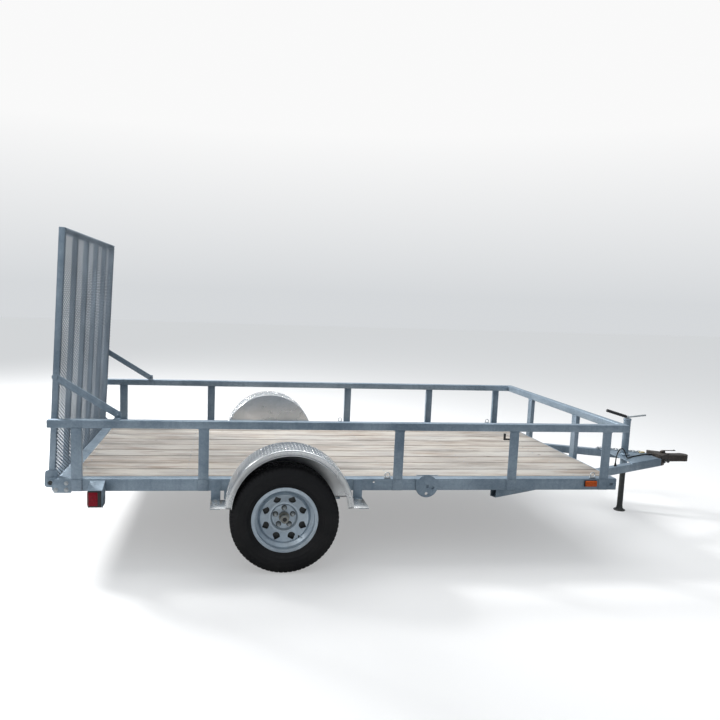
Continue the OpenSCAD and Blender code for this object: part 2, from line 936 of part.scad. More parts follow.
module rim_body() {
    wall = 4;
    edge = rim_w / 2;
    seat = rim_seat_r;
    flange = seat + rim_flange_h;
    well = seat - 24;
    plateau = 86;
    rotate_extrude($fn = 96)
        polygon([
            [flange, -edge], [flange, -edge + wall], [seat, -edge + wall + 2],
            [seat, -edge + 40], [well, -edge + 52], [well, edge - 52],
            [seat, edge - 40], [seat, edge - wall - 2], [flange, edge - wall],
            [flange, edge], [seat - wall, edge], [seat - wall, edge - 40],
            [well - wall, edge - 54], [well - wall, -edge + 54],
            [seat - wall, -edge + 40], [seat - wall, -edge]
        ]);
    difference() {
        rotate_extrude($fn = 96)
            polygon([
                [hub_r + 0.3, 0], [nut_pcd / 2 + 18, 0], [plateau, 14], [plateau + 12, 14],
                [150, 34], [well - wall, 22], [well - wall, 17], [150, 28],
                [plateau + 12, 9], [plateau + 2, 9],
                [nut_pcd / 2 + 20, -disc_t], [hub_r + 0.3, -disc_t]
            ]);
        for (i = [0 : vent_count - 1])
            rotate(i * 360 / vent_count + 22.5)
                translate([0, 0, -10]) linear_extrude(60) vent();
    }
}

module hub_body() {
    cap_r = 25;
    cap_len = 62;
    difference() {
        union() {
            translate([0, 0, -disc_t - hub_flange_t]) cylinder(r = hub_flange_r, h = hub_flange_t);
            translate([0, 0, -hub_in]) cylinder(r = hub_r + 8, h = hub_in - disc_t - 2);
            translate([0, 0, -disc_t - 2]) cylinder(r = hub_r, h = disc_t + 22);
            cylinder(r = cap_r, h = cap_len);
            for (i = [0 : nut_count - 1])
                rotate(i * 360 / nut_count + 18)
                    translate([nut_pcd / 2, 0, 0]) cylinder(r = 11.5, h = 22, $fn = 6);
        }
        translate([0, 0, -hub_in - 1]) cylinder(r = spindle_r + spindle_gap, h = hub_in + 44);
    }
}

module tyre_right() {
    color([0.06, 0.06, 0.06]) wheel_place() tyre_body();
}

module rim_right() {
    color(galvanised) wheel_place() rim_body();
}

module hub_right() {
    color(galvanised) wheel_place() hub_body();
}

module tyre_left() {
    color([0.06, 0.06, 0.06]) mirror([0, 1, 0]) wheel_place() tyre_body();
}

module rim_left() {
    color(galvanised) mirror([0, 1, 0]) wheel_place() rim_body();
}

module hub_left() {
    color(galvanised) mirror([0, 1, 0]) wheel_place() hub_body();
}

side_frame_right();
side_frame_left();
front_member();
rear_member();
cross_members();
deck_planks();
posts_right();
posts_left();
front_posts();
rail_right();
rail_left();
front_rail();
fender_right();
fender_left();
fender_brackets();
axle();
leaf_springs();
spring_hangers();
spring_clamps();
tongue_right();
tongue_left();
tongue_plate();
coupler();
coupler_latch();
jack_tube();
jack_crank();
jack_leg();
lamp_brackets();
tail_lamps();
side_markers();
tie_down_rings();
accessory_plate();
hinge_brackets();
corner_plates();
brace_catches();
rope_hook();
cable_gland();
harness_cable();
harness_plug();
gate_side_bars();
gate_cross_bars();
gate_ribs();
gate_mesh();
gate_hinge_lugs();
brace_right();
brace_left();
tyre_right();
rim_right();
hub_right();
tyre_left();
rim_left();
hub_left();
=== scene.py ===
"""Visible surfaces of a galvanised utility trailer with a mesh ramp gate, on its frame."""
import json
import logging
import math
from collections.abc import Iterable, Sequence
from dataclasses import dataclass
from enum import Enum

import bmesh
import bpy
from mathutils import Matrix, Vector, noise


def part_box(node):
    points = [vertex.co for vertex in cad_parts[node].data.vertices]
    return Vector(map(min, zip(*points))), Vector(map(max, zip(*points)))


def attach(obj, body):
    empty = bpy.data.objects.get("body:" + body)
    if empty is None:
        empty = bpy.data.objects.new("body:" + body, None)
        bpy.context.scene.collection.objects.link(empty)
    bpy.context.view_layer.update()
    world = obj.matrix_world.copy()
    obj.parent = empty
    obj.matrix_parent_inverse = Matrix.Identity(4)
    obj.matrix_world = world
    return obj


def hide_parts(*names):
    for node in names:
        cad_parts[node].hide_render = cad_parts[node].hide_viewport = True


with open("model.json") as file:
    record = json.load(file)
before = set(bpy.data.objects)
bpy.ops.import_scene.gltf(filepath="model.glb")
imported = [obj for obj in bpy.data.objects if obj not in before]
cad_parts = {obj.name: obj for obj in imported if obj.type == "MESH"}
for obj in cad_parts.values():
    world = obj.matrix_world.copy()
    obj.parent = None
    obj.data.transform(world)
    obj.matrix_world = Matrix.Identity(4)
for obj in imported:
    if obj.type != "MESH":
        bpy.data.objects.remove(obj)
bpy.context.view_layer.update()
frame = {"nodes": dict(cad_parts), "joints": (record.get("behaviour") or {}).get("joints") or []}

logging.basicConfig(level=logging.INFO, format="%(name)s: %(message)s")
LOG = logging.getLogger("trailer")

Colour = tuple[float, float, float]
Point = tuple[float, float, float]
SizeBox = tuple[Vector, Vector]
Outline = list[tuple[float, float]]

MERGE_DISTANCE = 1e-5
POLE_RADIUS = 1e-6
FLAT_ANGLE = math.radians(0.5)
FOLD_ANGLE = 1.0
X_AXIS = Vector((1.0, 0.0, 0.0))
Y_AXIS = Vector((0.0, 1.0, 0.0))
Z_AXIS = Vector((0.0, 0.0, 1.0))


class Side(Enum):
    """The trailer's two sides, with the sign of their Y."""

    RIGHT = -1
    LEFT = 1

    @property
    def word(self) -> str:
        """The side's name as the frame's nodes spell it."""
        return self.name.lower()


class Slot(Enum):
    """The record's material slots, named with each new piece's finish."""

    GALVANISED = "galvanised_steel"
    MESH = "gate_mesh_steel"
    WHEEL = "wheel_steel"
    DARK = "dark_steel"
    COUPLER = "coupler_iron"
    TREAD_PLATE = "tread_plate"
    TIMBER = "deck_timber"
    TYRE = "tyre"
    RED = "red_lens"
    AMBER = "amber_lens"
    PLASTIC = "black_plastic"
    CABLE = "black_rubber"


# ---- Shader trees ----


class ShaderSketch:
    """Adds nodes to one tree and joins them, so that a finish reads top to bottom."""

    def __init__(self, tree: bpy.types.NodeTree) -> None:
        """Keeps the tree to draw in.

        Args:
            tree: A material's, group's or world's node tree.
        """
        self.tree = tree

    def add(self, kind: str, inputs: dict | None = None, **settings: object) -> bpy.types.Node:
        """Adds one node.

        Args:
            kind: The node's type name.
            inputs: Values or output sockets by input name or number.
            **settings: The node's own properties.

        Returns:
            The new node.
        """
        node = self.tree.nodes.new(kind)
        for name, value in settings.items():
            setattr(node, name, value)
        for name, value in (inputs or {}).items():
            self.feed(node.inputs[name], value)
        return node

    def feed(self, socket: bpy.types.NodeSocket, value: object) -> None:
        """Links a socket into another one, or sets its plain value.

        Args:
            socket: The input to feed.
            value: An output socket, a number or a tuple.
        """
        if isinstance(value, bpy.types.NodeSocket):
            self.tree.links.new(value, socket)
        else:
            socket.default_value = value

    def math(
        self, operation: str, first: object, second: object = 0.0, third: object = 0.0
    ) -> bpy.types.NodeSocket:
        """One Math node's result, for the operation named."""
        inputs = {0: first, 1: second, 2: third}
        return self.add("ShaderNodeMath", inputs, operation=operation).outputs[0]

    def place(self) -> bpy.types.NodeSocket:
        """The point's place in the trailer, from Object coordinates."""
        return self.add("ShaderNodeTexCoord").outputs["Object"]

    def surface(
        self, shader: bpy.types.Node, colour: object, roughness: object, normal: object
    ) -> None:
        """Feeds a shader the three things that change over every surface."""
        self.feed(shader.inputs["Base Color"], colour)
        self.feed(shader.inputs["Roughness"], roughness)
        self.feed(shader.inputs["Normal"], normal)

    def span(
        self, value: object, low: float, high: float, to_low: float = 0.0, to_high: float = 1.0
    ) -> bpy.types.NodeSocket:
        """Maps a value's range low to high onto to_low to to_high, clamped."""
        inputs = {0: value, 1: low, 2: high, 3: to_low, 4: to_high}
        return self.add("ShaderNodeMapRange", inputs).outputs[0]

    def mix(self, share: object, first: object, second: object) -> bpy.types.NodeSocket:
        """Blends two colours by a share from 0 to 1."""
        node = self.add("ShaderNodeMix", data_type="RGBA")
        self.feed(node.inputs[0], share)
        self.feed(node.inputs[6], first)
        self.feed(node.inputs[7], second)
        return node.outputs[2]

    def noise(
        self, vector: object, scale: object, detail: float = 3.0, rough: float = 0.55
    ) -> bpy.types.NodeSocket:
        """A noise texture's factor over a vector."""
        inputs = {"Vector": vector, "Scale": scale, "Detail": detail, "Roughness": rough}
        return self.add("ShaderNodeTexNoise", inputs).outputs[0]

    def stretched(self, vector: object, scale: Point) -> bpy.types.NodeSocket:
        """The vector with each axis scaled by itself."""
        node = self.add("ShaderNodeMapping", {"Vector": vector, "Scale": scale})
        return node.outputs[0]

    def bump(
        self, height: object, strength: float, distance: float, normal: object = None
    ) -> bpy.types.NodeSocket:
        """A bumped normal from a height, on top of another normal if one is given."""
        inputs = {"Height": height, "Strength": strength, "Distance": distance}
        if normal is not None:
            inputs["Normal"] = normal
        return self.add("ShaderNodeBump", inputs).outputs[0]

    def group(self, tree: bpy.types.NodeTree, inputs: dict) -> bpy.types.Node:
        """Places a shared effect in this tree.

        Args:
            tree: The effect's node group.
            inputs: Values or sockets by the group's own input names.

        Returns:
            The group node.
        """
        node = self.tree.nodes.new("ShaderNodeGroup")
        node.node_tree = tree
        for name, value in inputs.items():
            self.feed(node.inputs[name], value)
        return node


class EffectShelf:
    """The effects that more than one finish uses, each a node group built once."""

    def __init__(self) -> None:
        """Builds every shared effect."""
        self.spangle = self._spangle()
        self.grime = self._grime()
        self.scuffs = self._scuffs()

    @staticmethod
    def _start(
        name: str, inputs: Sequence[tuple[str, str, float | None]], outputs: Sequence[str]
    ) -> tuple[ShaderSketch, bpy.types.Node, bpy.types.Node]:
        """Opens a node group with named sockets.

        Args:
            name: The group's name.
            inputs: Name, socket type and first value of each input.
            outputs: Names of the float outputs.

        Returns:
            The sketch, the group's input node and its output node.
        """
        tree = bpy.data.node_groups.new(name, "ShaderNodeTree")
        for label, kind, value in inputs:
            socket = tree.interface.new_socket(name=label, in_out="INPUT", socket_type=kind)
            if value is not None:
                socket.default_value = value
        for label in outputs:
            tree.interface.new_socket(name=label, in_out="OUTPUT", socket_type="NodeSocketFloat")
        sketch = ShaderSketch(tree)
        return sketch, sketch.add("NodeGroupInput"), sketch.add("NodeGroupOutput")

    def _spangle(self) -> bpy.types.NodeTree:
        """Zinc crystals and the cloudy patches of an ageing zinc coat."""
        sketch, given, out = self._start(
            "zinc_spangle",
            [
                ("Vector", "NodeSocketVector", None),
                ("Crystal Scale", "NodeSocketFloat", 120.0),
                ("Cloud Scale", "NodeSocketFloat", 3.0),
            ],
            ["Crystals", "Clouds", "Height"],
        )
        vector = given.outputs["Vector"]
        cells = sketch.add(
            "ShaderNodeTexVoronoi", {"Vector": vector, "Scale": given.outputs["Crystal Scale"]}
        )
        crystal = sketch.add("ShaderNodeSeparateColor", {0: cells.outputs["Color"]}).outputs[0]
        broad = sketch.noise(vector, given.outputs["Cloud Scale"], 5.0, 0.62)
        clouds = sketch.span(broad, 0.36, 0.64)
        fine = sketch.noise(vector, 420.0, 2.0)
        height = sketch.math("MULTIPLY_ADD", crystal, 0.35, fine)
        sketch.feed(out.inputs["Crystals"], crystal)
        sketch.feed(out.inputs["Clouds"], clouds)
        sketch.feed(out.inputs["Height"], height)
        return sketch.tree

    def _grime(self) -> bpy.types.NodeTree:
        """Road dirt that is thickest near the ground, broken up by noise."""
        sketch, given, out = self._start(
            "road_grime",
            [
                ("Vector", "NodeSocketVector", None),
                ("Top", "NodeSocketFloat", 0.6),
                ("Amount", "NodeSocketFloat", 0.5),
            ],
            ["Mask"],
        )
        height = sketch.add("ShaderNodeSeparateXYZ", {0: given.outputs["Vector"]}).outputs[2]
        share = sketch.math("DIVIDE", height, given.outputs["Top"])
        low = sketch.math("SUBTRACT", 1.0, share)
        low.node.use_clamp = True
        patches = sketch.span(sketch.noise(given.outputs["Vector"], 9.0, 6.0, 0.65), 0.38, 0.7)
        mask = sketch.math("MULTIPLY", low, patches)
        sketch.feed(out.inputs["Mask"], sketch.math("MULTIPLY", mask, given.outputs["Amount"]))
        return sketch.tree

    def _scuffs(self) -> bpy.types.NodeTree:
        """Rain streaks and rub marks, drawn out along one axis by the vector given."""
        sketch, given, out = self._start(
            "streaks_and_scuffs",
            [
                ("Vector", "NodeSocketVector", None),
                ("Scale", "NodeSocketFloat", 30.0),
                ("Amount", "NodeSocketFloat", 0.5),
            ],
            ["Mask"],
        )
        streak = sketch.noise(given.outputs["Vector"], given.outputs["Scale"], 4.0, 0.6)
        mask = sketch.span(streak, 0.52, 0.72)
        sketch.feed(out.inputs["Mask"], sketch.math("MULTIPLY", mask, given.outputs["Amount"]))
        return sketch.tree


def rgba(colour: Colour) -> tuple[float, float, float, float]:
    """A colour with full opacity."""
    return (*colour, 1.0)


def new_material(name: str) -> tuple[bpy.types.Material, ShaderSketch, bpy.types.Node]:
    """Opens a material.

    Args:
        name: The material's name.

    Returns:
        The material, a sketch of its tree and its Principled BSDF node.
    """
    material = bpy.data.materials.new(name)
    material.use_nodes = True
    sketch = ShaderSketch(material.node_tree)
    return material, sketch, material.node_tree.nodes["Principled BSDF"]


@dataclass(frozen=True)
class GalvanisedFinish:
    """Hot-dip galvanised steel: cloudy blue-grey zinc with crystals, streaks and road dirt."""

    name: str
    bright: Colour = (0.335, 0.410, 0.480)
    dull: Colour = (0.165, 0.220, 0.275)
    dirt: Colour = (0.11, 0.10, 0.085)
    metallic: float = 0.55
    smooth: float = 0.36
    rough: float = 0.55
    dirt_top: float = 0.52
    dirt_amount: float = 0.35
    streak_amount: float = 0.45

    def build(self, effects: EffectShelf) -> bpy.types.Material:
        """The finish as a material."""
        material, sketch, shader = new_material(self.name)
        place = sketch.place()
        zinc = sketch.group(
            effects.spangle, {"Vector": place, "Crystal Scale": 110.0, "Cloud Scale": 2.6}
        )
        streaks = sketch.group(
            effects.scuffs,
            {
                "Vector": sketch.stretched(place, (1.0, 1.0, 0.12)),
                "Scale": 34.0,
                "Amount": self.streak_amount,
            },
        )
        grime = sketch.group(
            effects.grime, {"Vector": place, "Top": self.dirt_top, "Amount": self.dirt_amount}
        )
        cloudy = sketch.math("MULTIPLY", zinc.outputs["Clouds"], 0.78)
        tone = sketch.math("MULTIPLY_ADD", zinc.outputs["Crystals"], 0.22, cloudy)
        zinc_colour = sketch.mix(tone, rgba(self.dull), rgba(self.bright))
        streaked = sketch.mix(streaks.outputs["Mask"], zinc_colour, rgba(self.dull))
        sketch.surface(
            shader,
            sketch.mix(grime.outputs["Mask"], streaked, rgba(self.dirt)),
            sketch.span(tone, 0, 1, self.rough, self.smooth),
            sketch.bump(zinc.outputs["Height"], 0.16, 0.0006),
        )
        shader.inputs["Metallic"].default_value = self.metallic
        return material


@dataclass(frozen=True)
class TimberFinish:
    """Weathered softwood boards: silvered grain, brown heart streaks, knots and painted shade at
    the long edges.
    """

    name: str = "weathered_boards"
    pale: Colour = (0.47, 0.435, 0.385)
    brown: Colour = (0.235, 0.180, 0.140)
    silver: Colour = (0.37, 0.362, 0.345)
    dark: Colour = (0.058, 0.047, 0.040)

    def build(self, effects: EffectShelf) -> bpy.types.Material:
        """The finish as a material that reads each board's own number from an attribute."""
        material, sketch, shader = new_material(self.name)
        place = sketch.place()
        board = sketch.add("ShaderNodeAttribute", attribute_name=DeckTimbers.BOARD_ATTRIBUTE)
        number = board.outputs["Fac"]
        offset = sketch.add("ShaderNodeCombineXYZ", {0: sketch.math("MULTIPLY", number, 37.0)})
        moved = sketch.add("ShaderNodeVectorMath", {0: place, 1: offset.outputs[0]})
        along = sketch.stretched(moved.outputs[0], (0.055, 1.0, 1.0))
        grain = sketch.noise(along, 95.0, 7.0, 0.68)
        bands = sketch.noise(sketch.stretched(moved.outputs[0], (0.16, 1.0, 1.0)), 17.0, 4.0)
        patches = sketch.noise(sketch.stretched(moved.outputs[0], (0.7, 1.6, 1.0)), 2.4, 4.0)
        knots = sketch.add(
            "ShaderNodeTexVoronoi",
            {"Vector": sketch.stretched(moved.outputs[0], (1.0, 2.2, 0.0)), "Scale": 2.6},
        )
        knot = sketch.span(knots.outputs["Distance"], 0.045, 0.02)
        tone = sketch.math("FRACT", sketch.math("MULTIPLY", number, 7.31))
        wood = sketch.mix(sketch.span(bands, 0.42, 0.66), rgba(self.pale), rgba(self.brown))
        aged = sketch.mix(sketch.span(patches, 0.35, 0.62, 0.15, 0.8), wood, rgba(self.silver))
        toned = sketch.mix(sketch.math("MULTIPLY", tone, 0.30), aged, rgba(self.brown))
        lined = sketch.mix(sketch.span(grain, 0.56, 0.72, 0.0, 0.8), toned, rgba(self.dark))
        marks = sketch.group(
            effects.scuffs,
            {"Vector": sketch.stretched(place, (0.3, 1.0, 1.0)), "Scale": 6.0, "Amount": 0.4},
        )
        worn = sketch.mix(marks.outputs["Mask"], lined, rgba(self.dark))
        knotted = sketch.mix(knot, worn, rgba(self.dark))
        # Painted shade: each board's long edges are darkened towards near-black, where the gaps
        # between the boards lie in shade.
        across = sketch.add("ShaderNodeAttribute", attribute_name=DeckTimbers.ACROSS_ATTRIBUTE)
        from_middle = sketch.math("ABSOLUTE", across.outputs["Fac"])
        reach = sketch.math("MULTIPLY_ADD", grain, 0.16, from_middle)
        edge = sketch.span(reach, 0.985, 1.085, 0.0, 0.92)
        sketch.surface(
            shader,
            sketch.mix(edge, knotted, rgba(self.dark)),
            sketch.span(grain, 0.3, 0.7, 0.68, 0.9),
            sketch.bump(grain, 0.55, 0.0012),
        )
        return material


@dataclass(frozen=True)
class RubberFinish:
    """Tyre rubber, faintly dusty, or with no dust a cable's jacket."""

    name: str
    black: Colour = (0.0055, 0.0055, 0.0065)
    dust: Colour = (0.035, 0.032, 0.029)
    dust_top: float = 0.7
    dust_amount: float = 0.4
    rough: float = 0.60

    def build(self, effects: EffectShelf) -> bpy.types.Material:
        """The finish as a material."""
        material, sketch, shader = new_material(self.name)
        place = sketch.place()
        grime = sketch.group(
            effects.grime, {"Vector": place, "Top": self.dust_top, "Amount": self.dust_amount}
        )
        fine = sketch.noise(place, 260.0, 3.0)
        sketch.surface(
            shader,
            sketch.mix(grime.outputs["Mask"], rgba(self.black), rgba(self.dust)),
            sketch.span(fine, 0.3, 0.7, self.rough - 0.08, self.rough + 0.1),
            sketch.bump(fine, 0.2, 0.0004),
        )
        shader.inputs["Specular IOR Level"].default_value = 0.28
        return material


@dataclass(frozen=True)
class TreadPlateFinish:
    """Mill-finish aluminium tread plate, rolled along its length and a little dulled."""

    name: str = "aluminium_tread_plate"
    bright: Colour = (0.80, 0.81, 0.815)
    dull: Colour = (0.56, 0.565, 0.565)
    dirt: Colour = (0.33, 0.30, 0.26)
    smooth: float = 0.18
    rough: float = 0.36

    def build(self, effects: EffectShelf) -> bpy.types.Material:
        """The finish as a material."""
        material, sketch, shader = new_material(self.name)
        place = sketch.place()
        rolled = sketch.noise(sketch.stretched(place, (1.0, 0.06, 1.0)), 160.0, 3.0)
        cloud = sketch.noise(place, 2.3, 4.0, 0.5)
        scuffs = sketch.group(effects.scuffs, {"Vector": place, "Scale": 22.0, "Amount": 0.3})
        grime = sketch.group(effects.grime, {"Vector": place, "Top": 0.7, "Amount": 0.15})
        metal = sketch.mix(sketch.span(cloud, 0.38, 0.66), rgba(self.bright), rgba(self.dull))
        marked = sketch.mix(scuffs.outputs["Mask"], metal, rgba(self.dull))
        sketch.surface(
            shader,
            sketch.mix(grime.outputs["Mask"], marked, rgba(self.dirt)),
            sketch.span(cloud, 0.3, 0.7, self.smooth, self.rough),
            sketch.bump(rolled, 0.08, 0.0004),
        )
        shader.inputs["Metallic"].default_value = 0.92
        return material


@dataclass(frozen=True)
class PaintFinish:
    """Worn paint on iron or steel, or moulded plastic where nothing has worn."""

    name: str
    colour: Colour
    worn: Colour
    wear: float = 0.35
    rough: float = 0.45
    metallic: float = 0.0
    coat: float = 0.0
    grain: float = 180.0

    def build(self, effects: EffectShelf) -> bpy.types.Material:
        """The finish as a material."""
        material, sketch, shader = new_material(self.name)
        place = sketch.place()
        scuffs = sketch.group(
            effects.scuffs, {"Vector": place, "Scale": 46.0, "Amount": self.wear}
        )
        fine = sketch.noise(place, self.grain, 4.0)
        specks = sketch.span(fine, 0.35, 0.75, 0.0, 0.3)
        mottled = sketch.mix(specks, rgba(self.colour), rgba(self.worn))
        sketch.surface(
            shader,
            sketch.mix(scuffs.outputs["Mask"], mottled, rgba(self.worn)),
            sketch.span(fine, 0.3, 0.7, self.rough - 0.1, self.rough + 0.12),
            sketch.bump(fine, 0.18, 0.0004),
        )
        shader.inputs["Metallic"].default_value = self.metallic
        shader.inputs["Coat Weight"].default_value = self.coat
        return material


@dataclass(frozen=True)
class LensFinish:
    """A moulded lamp lens: deep colour under a clear gloss, with fine prisms inside."""

    name: str
    deep: Colour
    lit: Colour
    prism_scale: float = 260.0

    def build(self, effects: EffectShelf) -> bpy.types.Material:
        """The finish as a material."""
        material, sketch, shader = new_material(self.name)
        place = sketch.place()
        prisms = sketch.add(
            "ShaderNodeTexVoronoi", {"Vector": place, "Scale": self.prism_scale}, feature="F1"
        )
        glow = sketch.span(prisms.outputs["Distance"], 0.1, 0.7)
        scuffs = sketch.group(effects.scuffs, {"Vector": place, "Scale": 60.0, "Amount": 0.15})
        colour = sketch.mix(glow, rgba(self.lit), rgba(self.deep))
        sketch.surface(
            shader,
            sketch.mix(scuffs.outputs["Mask"], colour, rgba(self.lit)),
            sketch.span(scuffs.outputs["Mask"], 0, 0.15, 0.12, 0.3),
            sketch.bump(glow, 0.15, 0.0006),
        )
        shader.inputs["Specular IOR Level"].default_value = 0.22
        shader.inputs["Coat Weight"].default_value = 0.08
        return material


class Finishes:
    """Every finish on the trailer, built once and kept by slot."""

    def __init__(self) -> None:
        """Builds the shared effects and then the materials."""
        effects = EffectShelf()
        self.galvanised = GalvanisedFinish("galvanised_steel_aged").build(effects)
        self.zinc_plate = GalvanisedFinish(
            "bright_zinc_bolts", bright=(0.58, 0.61, 0.62), dull=(0.33, 0.36, 0.38), smooth=0.25,
            metallic=0.8,
        ).build(effects)
        # The gate's mesh: the frame's galvanised steel made much darker, as painted shade on the
        # gate's shaded face.
        self.mesh = GalvanisedFinish(
            "galvanised_mesh_painted_shade", bright=(0.13, 0.17, 0.21), dull=(0.055, 0.076, 0.10), smooth=0.4,
            metallic=0.5,
        ).build(effects)
        self.wheel = GalvanisedFinish(
            "galvanised_wheel", bright=(0.56, 0.64, 0.70), dull=(0.37, 0.44, 0.51),
            smooth=0.28, rough=0.45, dirt_top=0.7, dirt_amount=0.3,
        ).build(effects)
        self.hub = GalvanisedFinish(
            "greased_hub_steel", bright=(0.36, 0.365, 0.33), dull=(0.13, 0.13, 0.115),
            smooth=0.3, rough=0.5, metallic=0.7, dirt_top=0.7, dirt_amount=0.5,
        ).build(effects)
        self.timber = TimberFinish().build(effects)
        self.tyre = RubberFinish("tyre_rubber").build(effects)
        self.jacket = RubberFinish("cable_jacket", dust_amount=0.1, rough=0.5).build(effects)
        self.tread_plate = TreadPlateFinish().build(effects)
        # Black paint on the axle, springs and bolts; on the wheel drums, hinge-hole discs, lug-nut
        # discs and jack leg it is painted shade.
        self.dark = PaintFinish(
            "dull_black_paint_and_painted_shade", (0.032, 0.036, 0.036), (0.16, 0.15, 0.135), metallic=0.3
        ).build(effects)
        self.coupler = PaintFinish(
            "worn_coupler_paint", (0.030, 0.026, 0.024), (0.155, 0.12, 0.09), wear=0.5,
            metallic=0.35, rough=0.5,
        ).build(effects)
        self.plastic = PaintFinish(
            "black_moulding", (0.016, 0.016, 0.017), (0.05, 0.05, 0.05), wear=0.2
        ).build(effects)
        self.red = LensFinish(
            "red_lens", (0.17, 0.0005, 0.008), (0.40, 0.001, 0.020)
        ).build(effects)
        self.amber = LensFinish(
            "amber_lens", (0.42, 0.055, 0.005), (0.66, 0.13, 0.012)
        ).build(effects)
        self.yellow_zinc = GalvanisedFinish(
            "yellow_zinc_hook", bright=(0.72, 0.62, 0.36), dull=(0.50, 0.40, 0.20)
        ).build(effects)


# ---- Modelling ----


def along(direction: Vector) -> Matrix:
    """The turn that takes +Z to a direction."""
    return Z_AXIS.rotation_difference(direction.normalized()).to_matrix().to_4x4()


def edges_of(verts: Iterable[bmesh.types.BMVert]) -> list[bmesh.types.BMEdge]:
    """The edges at some vertices, each once, in the same order on every run."""
    return list(dict.fromkeys(e for v in verts for e in v.link_edges))


def round_bar(radius: float, bar: float, points: int, height: float = 0.0) -> Outline:
    """The outline of a round bar for a lathe, which bends it into a ring.

    Args:
        radius: The ring's radius, to the middle of the bar.
        bar: The bar's own radius.
        points: How many points the outline has.
        height: The ring's distance along the lathe's axis.

    Returns:
        The outline, point by point.
    """
    turns = [math.tau * k / points for k in range(points)]
    return [(radius + bar * math.cos(turn), height + bar * math.sin(turn)) for turn in turns]


def outer_face(low: Vector, high: Vector) -> tuple[float, float, float]:
    """Which way is outwards for a box at one side of the trailer.

    Args:
        low: The box's lowest corner.
        high: Its highest corner.

    Returns:
        The sign of the outward Y, and the Y of the outer and of the inner face.
    """
    return (-1.0, low.y, high.y) if low.y < 0 else (1.0, high.y, low.y)


def gate_hinge_point() -> Vector:
    """The middle of the ramp gate's hinge line."""
    return Vector(next(j for j in frame["joints"] if j["name"] == "gate_hinge")["pos_m"])


